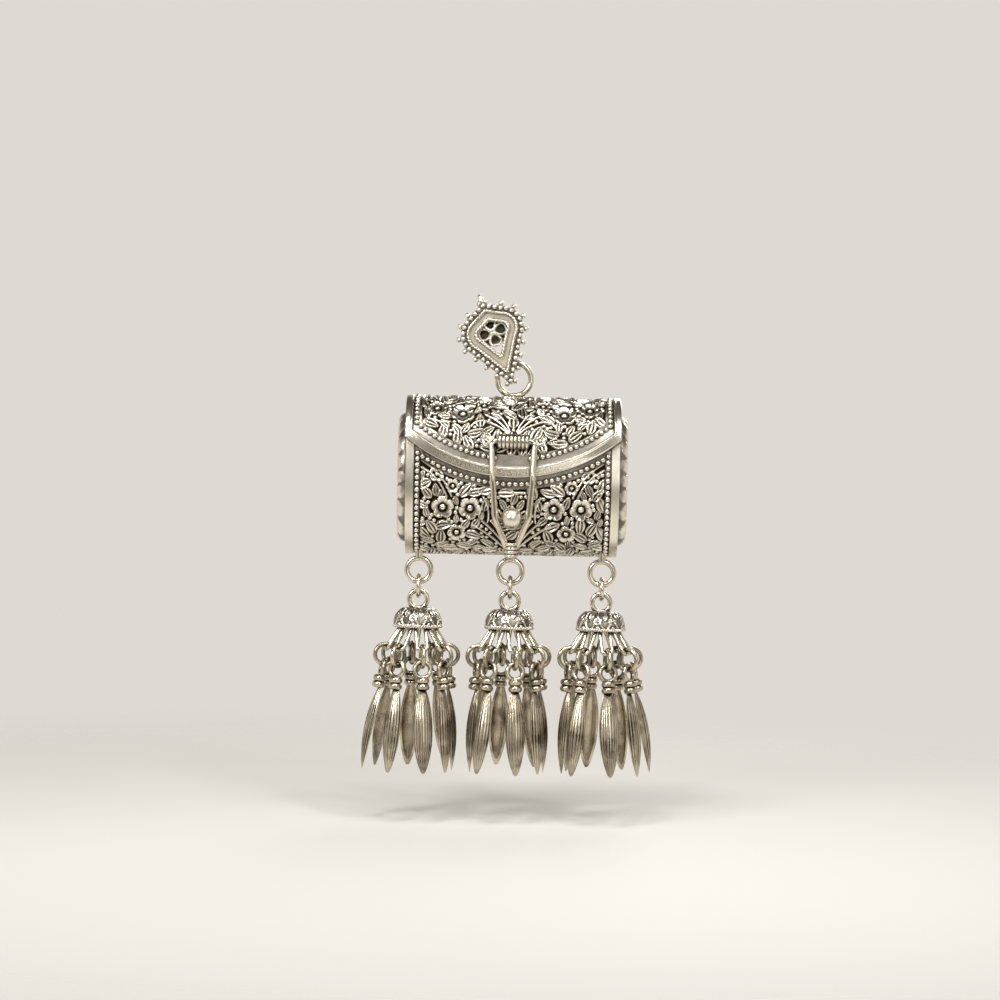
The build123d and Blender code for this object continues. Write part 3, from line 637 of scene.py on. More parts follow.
class Relief:
    """A silver sheet pushed out from behind: heights in millimetres over places on its surface."""

    def __init__(self, across: np.ndarray, up: np.ndarray) -> None:
        """Start with a flat sheet.

        Args:
            across: each point's place along the box.
            up: each point's place along the curved surface.
        """
        self.across, self.up = across, up
        self.height = np.zeros_like(across)

    def stamp(
        self, u: float, v: float, reach: float,
        profile: Callable[[np.ndarray, np.ndarray], np.ndarray],
    ) -> None:
        """Push one motif out of the sheet.

        Args:
            u: its middle across.
            v: its middle up.
            reach: how far it spreads.
            profile: height from the distance across and up.
        """
        near = (np.abs(self.across - u) < reach) & (np.abs(self.up - v) < reach)
        if near.any():
            raised = profile(self.across[near] - u, self.up[near] - v)
            self.height[near] = np.maximum(self.height[near], raised)

    def flower(
        self, u: float, v: float, radius: float, height: float, petals: int, turn: float = 0.3
    ) -> None:
        """A flower with cupped petals round a boss."""
        petal_root, petal_lobe, petal_floor, petal_rim = 0.72, 0.28, 0.1, (1.1, 0.92)
        seam_depth, seam_width, seam_from = 0.55, 0.16, (0.3, 0.6)
        moat_floor, moat_from = 0.2, (0.2, 0.42)
        boss_radius, boss_height, reach = 0.26, 0.85, 1.15

        def profile(du: np.ndarray, dv: np.ndarray) -> np.ndarray:
            """Height of the flower."""
            q = np.hypot(du, dv) / radius
            lobe = np.abs(np.cos(petals * (np.arctan2(dv, du) - turn) / 2))
            inside = q / (petal_root + petal_lobe * np.sqrt(lobe))
            cup = petal_floor + (1 - petal_floor) * np.clip(inside, 0, 1) ** 3
            cup = cup * smooth(*petal_rim, inside)
            seam = 1 - seam_depth * ridge(0, seam_width, lobe * q) * smooth(*seam_from, q)
            moat = moat_floor + (1 - moat_floor) * smooth(*moat_from, q)
            return height * np.maximum(cup * seam * moat, boss_height * dome(q / boss_radius))

        self.stamp(u, v, radius * reach, profile)

    def leaf(
        self, u: float, v: float, length: float, width: float, turn: float, bend: float,
        height: float,
    ) -> None:
        """A leaf with raised edges and a raised vein; turn is where its tip points, in degrees."""
        c, s = math.cos(math.radians(turn)), math.sin(math.radians(turn))
        blunt, taper, thinnest, tip, clear = 0.7, 0.25, 0.02, 0.995, 0.1
        floor, edge_height, vein_height = 0.24, 0.7, 0.45
        rim, edge, vein = (1.15, 0.9), (0.78, 0.22), (0.0, 0.17)

        def profile(du: np.ndarray, dv: np.ndarray) -> np.ndarray:
            """Height of the leaf."""
            t = np.clip((du * c + dv * s) / length * 2, -1, 1)
            aside = dv * c - du * s - bend * (1 - t * t)
            half = width / 2 * (1 - t * t) ** blunt * (1 - taper * t)
            d = np.abs(aside) / np.maximum(half, thinnest)
            rib = floor + edge_height * ridge(*edge, d) + vein_height * ridge(*vein, d)
            return height * smooth(*rim, d) * rib * (np.abs(t) < tip)

        self.stamp(u, v, length / 2 + abs(bend) + clear, profile)

    def stem(self, path: np.ndarray, width: float, height: float) -> None:
        """A rounded line along a path."""
        far, least = 9.0, 1e-9
        low, high = path.min(0) - width, path.max(0) + width
        near = (self.across > low[0]) & (self.across < high[0])
        near &= (self.up > low[1]) & (self.up < high[1])
        if not near.any():
            return
        u, v = self.across[near], self.up[near]
        gap = np.full(u.shape, far)
        for a, b in zip(path[:-1], path[1:]):
            way = b - a
            t = ((u - a[0]) * way[0] + (v - a[1]) * way[1]) / max(way @ way, least)
            t = np.clip(t, 0, 1)
            gap = np.minimum(gap, np.hypot(u - a[0] - t * way[0], v - a[1] - t * way[1]))
        self.height[near] = np.maximum(self.height[near], height * dome(gap / (width / 2)))

    def berry(self, u: float, v: float, radius: float, height: float) -> None:
        """A small round boss."""
        self.stamp(
            u, v, radius,
            lambda du, dv: height * np.sqrt(np.clip(1 - (du**2 + dv**2) / radius**2, 0, 1)),
        )

    def fill(
        self, inside: Callable[[float, float], bool], low: Place, high: Place, seed: int
    ) -> None:
        """Work small leaves and berries into the ground that is still bare.

        Args:
            inside: whether a place may be worked.
            low: lowest place across and up.
            high: highest place across and up.
            seed: start of the random draws.
        """
        stray, most_bend, leaf_height, berry_height, bare_height = 0.2, 0.15, 0.45, 0.3, 0.08
        sizes, smallest_leaf = (1.45, 1.1, 0.8, 0.45), 0.5
        leaf_long, leaf_wide, berry_wide = 2.1, 1.25, 0.85
        draw = np.random.default_rng(seed)
        for size in sizes:
            step, crowded = size / 2, 0.22 if size > 1 else 0.14
            for v in np.arange(low[1], high[1], step):
                for u in np.arange(low[0], high[0], step):
                    pu, pv = u + draw.uniform(-stray, stray), v + draw.uniform(-stray, stray)
                    turn, bend = draw.uniform(0, 360), draw.uniform(-most_bend, most_bend)
                    if not inside(pu, pv):
                        continue
                    here = slice(*np.searchsorted(self.across[0], (pu - size, pu + size)))
                    near = np.hypot(self.across[:, here] - pu, self.up[:, here] - pv) < size
                    taken = self.height[:, here][near]
                    if not taken.size or (taken > bare_height).mean() > crowded:
                        continue
                    if size > smallest_leaf:
                        long, wide = size * leaf_long, size * leaf_wide
                        self.leaf(pu, pv, long, wide, turn, bend, leaf_height)
                    else:
                        self.berry(pu, pv, size * berry_wide, berry_height)

    def punched(self, depth: float) -> None:
        """Mat the ground between the motifs with a ring punch half a millimetre wide."""
        cell, ground = 0.5, 0.12
        u, v = self.across * TAU / cell, self.up * TAU / cell
        # Uneven factors keep the dots from lining up as on a machined sheet.
        dots = np.sin(u + 1.7 * np.sin(v * 0.61)) * np.sin(v + 1.3 * np.sin(u * 0.53))
        self.height += depth * dots * smooth(ground, 0.0, self.height)

    def patina(self, reach: int) -> np.ndarray:
        """Where oxide stays: on the ground and in the furrows.

        Args:
            reach: cells over which a furrow is felt.

        Returns:
            A value for each point, 1 in the darkest places.
        """
        darkest, furrow_depth, ground = 0.9, 0.1, (0.15, 0.01)
        soft, span = self.height, 2 * reach + 1
        for axis in (0, 1, 0, 1):
            pad = [(reach + 1, reach) if a == axis else (0, 0) for a in (0, 1)]
            total = np.cumsum(np.pad(soft, pad, mode="edge"), axis)
            count = total.shape[axis]
            ahead = np.take(total, range(span, count), axis)
            soft = (ahead - np.take(total, range(count - span), axis)) / span
        furrow = np.clip((soft - self.height) / furrow_depth, 0, 1)
        return np.clip(darkest * smooth(*ground, self.height) + darkest * furrow, 0, 1)


@dataclass(frozen=True)
class Garland:
    """Flowers, leaves and stems on the right half of a chased field; the left half mirrors them.

    Places are millimetres from the box's middle and from the lid's top, seen from the front. A
    flower has its place, radius, petals and turn; a leaf its place, length, width, heading and
    bend; a stem its two ends and its sag.
    """

    flowers: tuple[tuple[float, float, float, int, float], ...]
    leaves: tuple[tuple[float, float, float, float, float, float], ...]
    stems: tuple[tuple[Place, Place, float], ...]
    flower_height: float
    leaf_height: float
    stem_height: float
    stem_width: float = 0.42

    def chase(self, work: Relief, place: Callable[[float, float], Place]) -> None:
        """Work the motifs into a sheet.

        Args:
            work: the sheet.
            place: turns a place seen from the front to one on the sheet.
        """
        for side in (1, -1):
            for x, z, radius, petals, turn in self.flowers:
                work.flower(*place(side * x, z), radius, self.flower_height, petals, turn * side)
            for x, z, length, width, turn, bend in self.leaves:
                facing = turn if side > 0 else 180 - turn
                spot = place(side * x, z)
                work.leaf(*spot, length, width, facing, bend * side, self.leaf_height)
            for start, end, sag in self.stems:
                ends = (place(side * x, z) for x, z in (start, end))
                work.stem(bow(*ends, sag * side), self.stem_width, self.stem_height)


BOX_GARLAND = Garland(
    flowers=(
        (7.3, -19.9, 2.0, 5, 0.2), (12.1, -19.8, 2.0, 5, 0.9), (9.6, -24.1, 1.65, 5, 0.5),
        (10.4, -16.1, 1.25, 6, 0.0), (13.2, -14.1, 1.35, 4, 0.8),
    ),
    leaves=(
        (14.1, -23.2, 3.0, 1.8, 60, 0.1), (14.7, -25.5, 2.6, 1.3, 20, 0.1),
        (12.2, -26.0, 2.8, 1.3, 160, 0.1), (4.3, -25.8, 2.8, 1.3, 35, 0.2),
        (6.9, -25.6, 2.6, 1.2, 150, 0.1), (15.0, -17.3, 2.6, 1.5, 50, 0.1),
        (6.3, -16.9, 3.0, 1.5, 165, 0.2), (4.7, -19.2, 2.4, 1.4, 100, 0.1),
        (15.0, -20.6, 2.0, 1.2, 75, 0.0), (9.7, -21.8, 1.8, 1.0, 270, 0.0),
        (1.6, -19.2, 2.2, 1.2, 60, 0.1), (12.4, -17.3, 1.8, 1.0, 120, 0.0),
    ),
    stems=(
        ((0.5, -26.5), (3.6, -22.0), 0.35), ((0.7, -26.6), (5.2, -22.0), 0.45),
        ((0.9, -26.8), (6.8, -22.7), 0.5), ((15.9, -11.7), (10.6, -17.8), -0.7),
        ((16.0, -12.9), (11.4, -18.0), -0.7), ((2.9, -15.9), (2.2, -21.5), 0.3),
        ((4.2, -22.2), (5.0, -17.9), 0.5),
    ),
    flower_height=0.52, leaf_height=0.48, stem_height=0.4,
)
LID_GARLAND = Garland(
    flowers=((8.9, -3.4, 2.1, 5, 0.4), (5.2, -1.9, 1.35, 5, 0.1), (13.4, -2.5, 1.8, 5, 0.8)),
    leaves=(
        (6.6, -6.6, 3.0, 1.7, 160, 0.3), (10.1, -6.2, 2.4, 1.5, 60, 0.2),
        (12.2, -5.4, 2.4, 1.3, 40, 0.2), (15.2, -3.4, 2.2, 1.2, 70, 0.1),
        (11.2, -1.3, 2.6, 1.3, 150, 0.2), (3.4, -1.5, 2.4, 1.2, 110, 0.1),
        (6.9, -8.1, 2.2, 1.0, 200, 0.1), (3.0, -3.9, 1.8, 1.1, 35, 0.0),
        (14.6, -1.0, 2.2, 1.2, 60, 0.1), (7.6, -0.9, 2.0, 1.1, 30, 0.0),
    ),
    stems=(
        ((0.9, -6.9), (5.6, -4.6), 0.4), ((0.8, -6.7), (4.7, -3.7), 0.35),
        ((0.6, -6.5), (3.7, -2.7), 0.3), ((5.4, -4.7), (7.4, -5.7), 0.4),
        ((11.1, -4.9), (13.9, -4.5), -0.4),
    ),
    flower_height=0.45, leaf_height=0.42, stem_height=0.36,
)


@dataclass(frozen=True)
class Barrel:
    """The box's section: an elliptical front between a flat top and bottom, with a flat back."""

    middle: Point = (4.197, -4.5, -26.578)
    bulge: float = 8.65
    half: float = 13.1
    back: float = 8.5
    lid_top: float = 14.6
    front_steps: int = 721
    flat_steps: int = 60
    flat_start: float = 0.1

    def drawn_in(self, inset: float) -> Point:
        """Depth of the front, half height and depth of the back, drawn in by an inset."""
        return self.bulge - inset, self.half - inset, self.back - inset

    def arc(self, grow: float) -> np.ndarray:
        """Places down the section, from its top, over the front, and along its bottom.

        Args:
            grow: how far the surface stands outside the box.

        Returns:
            Rows of length up from the middle of the front, depth, height and the outward direction.
        """
        a = np.linspace(QUARTER, -QUARTER, self.front_steps)
        wide, high = self.bulge + grow, self.half + grow
        y, z = -wide * np.cos(a), high * np.sin(a)
        ny, nz = -np.cos(a) / wide, np.sin(a) / high
        count = self.flat_steps
        y = np.concatenate([y, np.linspace(self.flat_start, self.back, count)])
        z = np.concatenate([z, np.full(count, -high)])
        ny = np.concatenate([ny, np.zeros(count)])
        nz = np.concatenate([nz, np.full(count, -1.0)])
        size = np.hypot(ny, nz)
        length = -run_along(y, z)
        return np.stack([length - length[self.front_steps // 2], y, z, ny / size, nz / size], 1)

    def length_at(self, height: Any, grow: float) -> Any:
        """Length up the front surface to a height above the box's middle."""
        a = self.arc(grow)[: self.front_steps]
        return np.interp(height, a[::-1, 2], a[::-1, 0])

    def seen(self, grow: float, x: float, down: float) -> Place:
        """Place on the surface of a point seen from the front at a height from the lid's top."""
        return x, float(self.length_at(down + self.lid_top, grow))

    def surface(self, x: np.ndarray, length: np.ndarray, grow: float, lift: Any) -> np.ndarray:
        """Points on the surface, raised along its outward direction.

        Args:
            x: places along the box from its middle.
            length: places up the surface.
            grow: how far the surface stands outside the box.
            lift: height above it.

        Returns:
            Points in the part's frame.
        """
        a = self.arc(grow)[::-1]
        y, z, ny, nz = (np.interp(length, a[:, 0], a[:, k]) for k in range(1, 5))
        return np.stack(
            [self.middle[0] + x, self.middle[1] + y + ny * lift, self.middle[2] + z + nz * lift], -1
        )


@dataclass(frozen=True)
class FlapEdge:
    """The arc that the flap's lower edge follows, seen from the front."""

    radius: float = 29.806
    centre: float = 30.006

    def height(self, x: Any, lift: float = 0.0) -> Any:
        """Height above the box's middle of a line that runs lift above the edge."""
        return self.centre - np.sqrt((self.radius - lift) ** 2 - np.square(x))


def dress(finish: SilverFinish, *nodes: str) -> None:
    """Give CAD nodes their finish.

    Args:
        finish: what they are made of.
        nodes: their names.
    """
    for node in nodes:
        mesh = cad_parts[node].data
        mesh.materials.clear()
        mesh.materials.append(finish.material())
    log.info("%s on %d nodes", finish.name, len(nodes))


@dataclass
class Box:
    """The barrel-fronted box: chased front and bottom, bead rows, domed ends."""

    barrel: Barrel = Barrel()
    edge: FlapEdge = FlapEdge()
    wall: float = 0.8
    wall_slack: float = 0.02
    wall_overlap: float = 0.3
    hoop_steps: int = 181
    wall_steps: int = 140
    mouth_half: float = 15.5
    mouth_low: float = 9.0
    mouth_rear: float = 0.95
    panel_half: float = 16.2
    panel_top: float = 8.0
    panel_end: float = -25.2
    panel_cells: int = 300
    panel_lift: float = 0.06
    panel_sink: float = 0.3
    panel_drop: float = 1.75
    panel_seed: int = 5
    furrow_cells: int = 4
    punch_depth: float = 0.03
    strip: float = 0.35
    # Flat dark tone of the plain strip under the flap's edge: painted shadow of the flap.
    flap_edge_shadow_tone: float = 0.55
    side_fade: float = 0.3
    foot_fade: float = 0.8
    fill_drop: float = 2.3
    fill_side: float = 0.5
    fill_foot: float = 0.6
    bar_half: float = 2.3
    bar_down: float = -17.1
    bar_width: float = 0.5
    bar_height: float = 0.36
    row_x: float = 16.7
    row_inset: float = 0.95
    row_end: float = -17.2
    row_below: float = 1.15
    row_steps: int = 200
    bead: float = 0.5
    bead_lift: float = 0.12
    bead_pitch: float = 1.08
    end_back: float = 18.0
    end_flange: float = 18.7
    end_sides: int = 360
    end_rings: int = 84
    end_eye: float = 0.004
    end_tone: float = 0.7
    flange_tone: float = 0.3
    flange_gap: float = -0.1
    dome_inset: float = 1.6
    dome_height: float = 1.25
    dome_round: float = 1.3
    petals: int = 16
    petal_height: float = 0.4
    petal_root: float = 0.84
    petal_lobe: float = 0.16
    petal_floor: float = 0.3
    petal_rim: Place = (1.06, 0.92)
    petal_from: Place = (0.3, 0.42)
    petal_fade: Place = (-0.2, 0.25)
    seam_depth: float = 0.7
    seam_width: float = 0.3
    rosette: float = 2.1
    rosette_height: float = 0.5
    rosette_petals: int = 8

    def build(self) -> None:
        """Build and dress the box."""
        self.walls()
        self.front()
        self.beads()
        for name, side in (("left", -1), ("right", 1)):
            self.end(name, side)
        dress(BURNISHED, "end_rims", "knob")
        dress(DRAWN_WIRE, "top_ring", "hinge_leaf", "hinge_pin", "tassel_rings")

    def section(self, inset: float, start: float, steps: int) -> np.ndarray:
        """Depth and height round the section, from an angle down the front to the top of the back.

        Args:
            inset: how far it is drawn in.
            start: the angle at which the front starts.
            steps: places down the front.

        Returns:
            Depth and height of each place.
        """
        wide, high, back = self.barrel.drawn_in(inset)
        t = np.linspace(start, -QUARTER, steps)
        curve = np.stack([-wide * np.cos(t), high * np.sin(t)], 1)
        return np.concatenate([curve, [(back, -high), (back, high)]])

    def walls(self) -> None:
        """The plain walls: a hoop at each end, and a wall between that leaves the mouth open."""
        hoop = [self.section(inset, QUARTER, self.hoop_steps) for inset in (0, self.wall)]
        made = []
        for side in (-1, 1):
            near, far = sorted((side * self.mouth_half, side * self.end_back))
            made.append(walled(*hoop, (near, far), True))
        start = math.asin(self.mouth_low / self.barrel.half)
        paths = []
        for inset in (self.wall_slack, self.wall - self.wall_slack):
            path = self.section(inset, start, self.wall_steps)
            paths.append(np.concatenate([path, [(self.mouth_rear, path[-1, 1])]]))
        reach = self.mouth_half + self.wall_overlap
        made.append(walled(*paths, (-reach, reach), False))
        joined(made).placed(Matrix.Translation(self.barrel.middle)).piece(
            "box_plain_walls", "box", CHASED, ["box_shell"], True
        )

    def front(self) -> None:
        """The chased sheet that wraps the front and bottom."""
        top = float(self.barrel.length_at(self.panel_top, 0))
        x = np.linspace(-self.panel_half, self.panel_half, self.panel_cells + 1)
        v = np.linspace(top, self.panel_end, self.panel_cells + 1)
        across, up = np.meshgrid(x, v)
        work = Relief(across, up)
        place = partial(self.barrel.seen, 0)
        BOX_GARLAND.chase(work, place)
        bar = np.array([place(side * self.bar_half, self.bar_down) for side in (-1, 1)])
        work.stem(bar, self.bar_width, self.bar_height)

        def bare(u: float, v: float) -> bool:
            """Whether small leaves may go there."""
            limit = self.barrel.length_at(self.edge.height(u) - self.fill_drop, 0)
            foot = self.panel_end + self.fill_foot
            return abs(u) < self.panel_half - self.fill_side and foot < v < limit

        low, high = (-self.panel_half, self.panel_end), (self.panel_half, top)
        work.fill(bare, low, high, self.panel_seed)
        row = self.barrel.length_at(self.edge.height(x) - self.panel_drop, 0)[None, :]
        from_side = self.panel_half - np.abs(across)
        work.height *= smooth(0.0, self.strip, row - up) * smooth(0.0, self.side_fade, from_side)
        work.height *= smooth(self.panel_end, self.panel_end + self.foot_fade, up)
        work.punched(self.punch_depth)
        outside = self.barrel.surface(across, up, 0, self.panel_lift + work.height)
        inside = self.barrel.surface(across, up, 0, -self.panel_sink)
        # The plain strip under the flap's edge gets one flat dark tone, a painted shadow of the
        # flap.
        tones = np.where(row - up < self.strip, self.flap_edge_shadow_tone, work.patina(self.furrow_cells))
        sheet(outside, inside, tones).piece("box_chased_sheet", "box", CHASED)

    def beads(self) -> None:
        """Bead rows beside the end rims and under the flap's edge."""
        beads = []
        corner = float(self.edge.height(self.row_x)) - self.row_below
        for side in (-1, 1):
            rise = np.array([float(self.barrel.length_at(corner, 0)), self.row_end])
            x, v = even_places(np.full(2, side * self.row_x), rise, self.bead_pitch)
            beads += list(self.barrel.surface(x, v, 0, self.bead_lift))
        line = np.linspace(
            -self.row_x + self.row_inset, self.row_x - self.row_inset, self.row_steps
        )
        v = self.barrel.length_at(self.edge.height(line) - self.row_below, 0)
        x, v = even_places(line, v, self.bead_pitch)
        beads += list(self.barrel.surface(x, v, 0, self.bead_lift))
        joined(ball(b, self.bead) for b in beads).piece(
            "box_bead_rows", "box", GRANULES, ["body_bead_rows"]
        )

    def outline(self, turn: np.ndarray, inset: float) -> np.ndarray:
        """Distance from the section's middle to its outline, drawn in by an inset."""
        c, s = np.cos(turn), np.sin(turn)
        wide, high, back = self.barrel.drawn_in(inset)
        front = 1 / np.sqrt((c / wide) ** 2 + (s / high) ** 2)
        square = np.minimum(back / np.maximum(c, TINY), high / np.maximum(np.abs(s), TINY))
        return np.where(c < 0, front, square)

    def end(self, name: str, side: int) -> None:
        """One domed end with a ring of scalloped petals round a flower.

        Args:
            name: left or right.
            side: which way it faces along the box.
        """
        turn = turns(self.end_sides)
        share = np.linspace(self.end_eye, 1, self.end_rings)[:, None]
        radius = share * self.outline(turn, 0)
        y, z = radius * np.cos(turn), radius * np.sin(turn)
        dome_edge = self.outline(turn, self.dome_inset)
        from_edge = dome_edge - radius
        rise = 1 - np.clip(from_edge / self.dome_round, 0, 1)
        swell = np.where(from_edge > 0, self.dome_height * dome(rise), 0)
        work = Relief(y, z)
        part = radius / dome_edge
        lobe = np.abs(np.cos(self.petals * turn / 2)) * np.ones_like(part)
        inside = part / (self.petal_root + self.petal_lobe * np.sqrt(lobe))
        cup = self.petal_floor + (1 - self.petal_floor) * np.clip(inside, 0, 1) ** 2
        cup = cup * smooth(*self.petal_rim, inside)
        seam = 1 - self.seam_depth * ridge(0, self.seam_width, lobe)
        work.height = self.petal_height * cup * seam * smooth(*self.petal_from, part)
        work.flower(0, 0, self.rosette, self.rosette_height, self.rosette_petals)
        work.height *= smooth(*self.petal_fade, from_edge)
        x = side * (self.end_flange + swell + work.height)
        points = np.stack([x, y, z], -1) + np.array(self.barrel.middle)
        wall = points[-1].copy()
        wall[:, 0] = self.barrel.middle[0] + side * self.end_back
        on_dome = from_edge > self.flange_gap
        tones = np.where(on_dome, self.end_tone * work.patina(2), self.flange_tone)
        rounded_cap(points, tones, wall).piece(
            f"box_{name}_end", "box", CHASED, [f"{name}_end_plate"]
        )


@dataclass
class Lid:
    """The hinged flap: chased field, bead row, plain edge band, fluted latch tube and rosettes."""

    barrel: Barrel = Barrel()
    edge: FlapEdge = FlapEdge()
    under: float = 0.65
    over: float = 1.25
    half_length: float = 18.95
    rear: float = 0.95
    columns: int = 420
    rows: int = 210
    furrow_cells: int = 4
    punch_depth: float = 0.025
    middle_leaf: Point = (-4.7, 2.8, 2.0)
    middle_leaf_height: float = 0.45
    field_rise: Place = (3.6, 4.0)
    field_half: Place = (16.4, 16.0)
    field_seed: int = 9
    fill_half: float = 15.7
    fill_rise: float = 4.5
    fill_top: float = 0.6
    plain_tone: float = 0.55
    band_width: float = 1.8
    band_height: float = 0.4
    band_step: Place = (0.06, -0.1)
    band_sink: float = 0.08
    band_line: Point = (-0.3, 0.13, 0.14)
    band_groove: Point = (-0.08, 0.12, 0.5)
    band_ease: float = 0.15
    band_drop: float = 0.25
    end_width: float = 1.4
    row_rise: float = 3.15
    row_steps: int = 300
    column_x: float = 16.95
    column_top: float = 0.5
    bead: float = 0.47
    bead_lift: float = 0.12
    bead_pitch: float = 1.04
    tube_axis: Point = (4.197, -14.603, -20.108)
    tube_radius: float = 1.4
    tube_bore: float = 0.65
    tube_length: float = 5.4
    tube_sides: int = 40
    tube_clear: Place = (3.0, 2.0)
    flutes: int = 8
    flute_steps: int = 10
    flute_depth: float = 0.16
    bore_tone: float = 0.9
    rosette_x: float = 4.7
    rosette_height: float = 6.6
    rosette_radius: float = 1.2
    rosette_sides: int = 96
    rosette_rings: int = 30
    rosette_eye: float = 0.01
    rosette_relief: float = 0.42
    rosette_petals: int = 6
    rosette_lift: float = 0.14
    rosette_sink: float = 0.2

    def build(self) -> None:
        """Build and dress the flap."""
        self.flap()
        self.beads()
        self.tube()
        self.rosettes()
        dress(DRAWN_WIRE, "lid_knuckles")

    def top(self, grow: float) -> float:
        """Length up the flap to its rear edge, on a surface that stands outside the box."""
        share = self.rear / (self.barrel.bulge + grow)
        height = (self.barrel.half + grow) * math.sqrt(1 - share**2)
        return float(self.barrel.length_at(height, grow))

    def rise(self, across: np.ndarray, up: np.ndarray) -> np.ndarray:
        """How far points lie above the flap's edge, seen from the front."""
        a = self.barrel.arc(self.over)[::-1]
        height = np.interp(up, a[:, 0], a[:, 2])
        return self.edge.radius - np.hypot(across, self.edge.centre - height)

    def flap(self) -> None:
        """The flap itself with its chased field and plain band."""
        x = np.linspace(-self.half_length, self.half_length, self.columns + 1)
        t = np.linspace(0, 1, self.rows + 1)[:, None]
        top, under_top = self.top(self.over), self.top(self.under)
        low, under_low = (
            self.barrel.length_at(self.edge.height(x), grow) for grow in (self.over, self.under)
        )
        up = top + t * (low[None, :] - top)
        across = np.broadcast_to(x, up.shape).copy()
        work = Relief(across, up)
        place = partial(self.barrel.seen, self.over)
        LID_GARLAND.chase(work, place)
        down, length, width = self.middle_leaf
        work.leaf(*place(0, down), length, width, 90, 0.0, self.middle_leaf_height)
        above = self.rise(across, up)
        from_end = self.half_length - np.abs(across)

        def bare(u: float, v: float) -> bool:
            """Whether small leaves may go there."""
            here = self.rise(np.array([u]), np.array([v]))[0]
            return abs(u) < self.fill_half and here > self.fill_rise and v < top - self.fill_top

        reach = self.field_half[1]
        work.fill(bare, (-reach, float(low.min())), (reach, top), self.field_seed)
        field = smooth(*self.field_rise, above) * smooth(*self.field_half, np.abs(across))
        work.height *= field
        work.punched(self.punch_depth)
        tones = work.patina(self.furrow_cells)
        band_gap = np.minimum(above - self.band_width, from_end - self.end_width)
        band = smooth(*self.band_step, band_gap)
        line, groove = (
            height * ridge(middle, width, band_gap)
            for middle, width, height in (self.band_line, self.band_groove)
        )
        ease = smooth(0.0, self.band_ease, np.minimum(above, from_end))
        edge = 1 - self.band_drop + self.band_drop * ease
        band_height = band * (self.band_height - self.band_sink + line) * edge
        work.height = np.maximum(work.height, band_height)
        chased = np.maximum(tones * field, self.plain_tone * (1 - field))
        tones = np.where(band > 0.5, groove, chased)
        outside = self.barrel.surface(across, up, self.over, work.height)
        inner_up = under_top + t * (under_low[None, :] - under_top)
        inside = self.barrel.surface(across, inner_up, self.under, 0)
        sheet(outside, inside, tones).piece(
            "lid_chased_flap", "lid", CHASED, ["lid_shell", "lid_edge_band"]
        )

    def beads(self) -> None:
        """The bead row inside the band, with a column up each end and room for the latch tube."""
        line = np.linspace(-self.column_x, self.column_x, self.row_steps)
        v = self.barrel.length_at(self.edge.height(line, self.row_rise), self.over)
        x, v = even_places(line, v, self.bead_pitch)
        places = list(self.barrel.surface(x, v, self.over, self.bead_lift))
        for side in (-1, 1):
            top = self.top(self.over) - self.column_top
            rise = np.array([float(v[0]) + self.bead_pitch, top])
            cx, cv = even_places(np.full(2, side * self.column_x), rise, self.bead_pitch)
            places += list(self.barrel.surface(cx, cv, self.over, self.bead_lift))
        middle, (aside, above) = self.barrel.middle[0], self.tube_clear
        limit = self.tube_axis[2] + above
        places = [p for p in places if abs(p[0] - middle) > aside or p[2] > limit]
        joined(ball(p, self.bead) for p in places).piece(
            "lid_bead_rows", "lid", GRANULES, ["lid_bead_row"]
        )

    def tube(self) -> None:
        """The fluted tube in which the loop turns."""
        half, sides = self.tube_length / 2, self.tube_sides
        z = np.linspace(half, -half, self.flutes * self.flute_steps + 1)
        wave = np.abs(np.sin(math.pi * self.flutes * (z / self.tube_length + 0.5)))
        outer = self.tube_radius * (1 - self.flute_depth + self.flute_depth * np.sqrt(wave))
        radii = [self.tube_bore, *outer.tolist(), self.tube_bore]
        heights = [float(z[0]), *z.tolist(), float(z[-1])]
        a = turns(sides)
        points = np.concatenate(
            [
                np.stack([np.full(sides, h), r * np.cos(a), r * np.sin(a)], 1)
                for r, h in zip(radii, heights)
            ]
        )
        faces = grid_faces(len(radii), sides, wrap=True, loop=True)
        tones = np.concatenate([[self.bore_tone], smooth(0.5, 0.0, wave), [self.bore_tone]])
        Shape(points + np.array(self.tube_axis), faces, np.repeat(tones, sides)).piece(
            "lid_latch_tube", "lid", DRAWN_WIRE, ["latch_tube"]
        )

    def rosettes(self) -> None:
        """The two little flowers beside the tube."""
        turn = turns(self.rosette_sides)
        radius = np.linspace(self.rosette_eye, self.rosette_radius, self.rosette_rings)[:, None]
        u, v = radius * np.cos(turn), radius * np.sin(turn)
        work = Relief(u, v)
        spread = self.rosette_radius * 1.02
        work.flower(0, 0, spread, self.rosette_relief, self.rosette_petals)
        length = float(self.barrel.length_at(self.rosette_height, self.over))
        lift = self.rosette_lift + work.height
        made = []
        for side in (-1, 1):
            x = side * self.rosette_x
            points = self.barrel.surface(x + u, length + v, self.over, lift)
            wall = self.barrel.surface(x + u[-1], length + v[-1], self.over, -self.rosette_sink)
            made.append(rounded_cap(points, work.patina(1), wall))
        joined(made).piece("lid_rosettes", "lid", CHASED, ["latch_rosettes"])


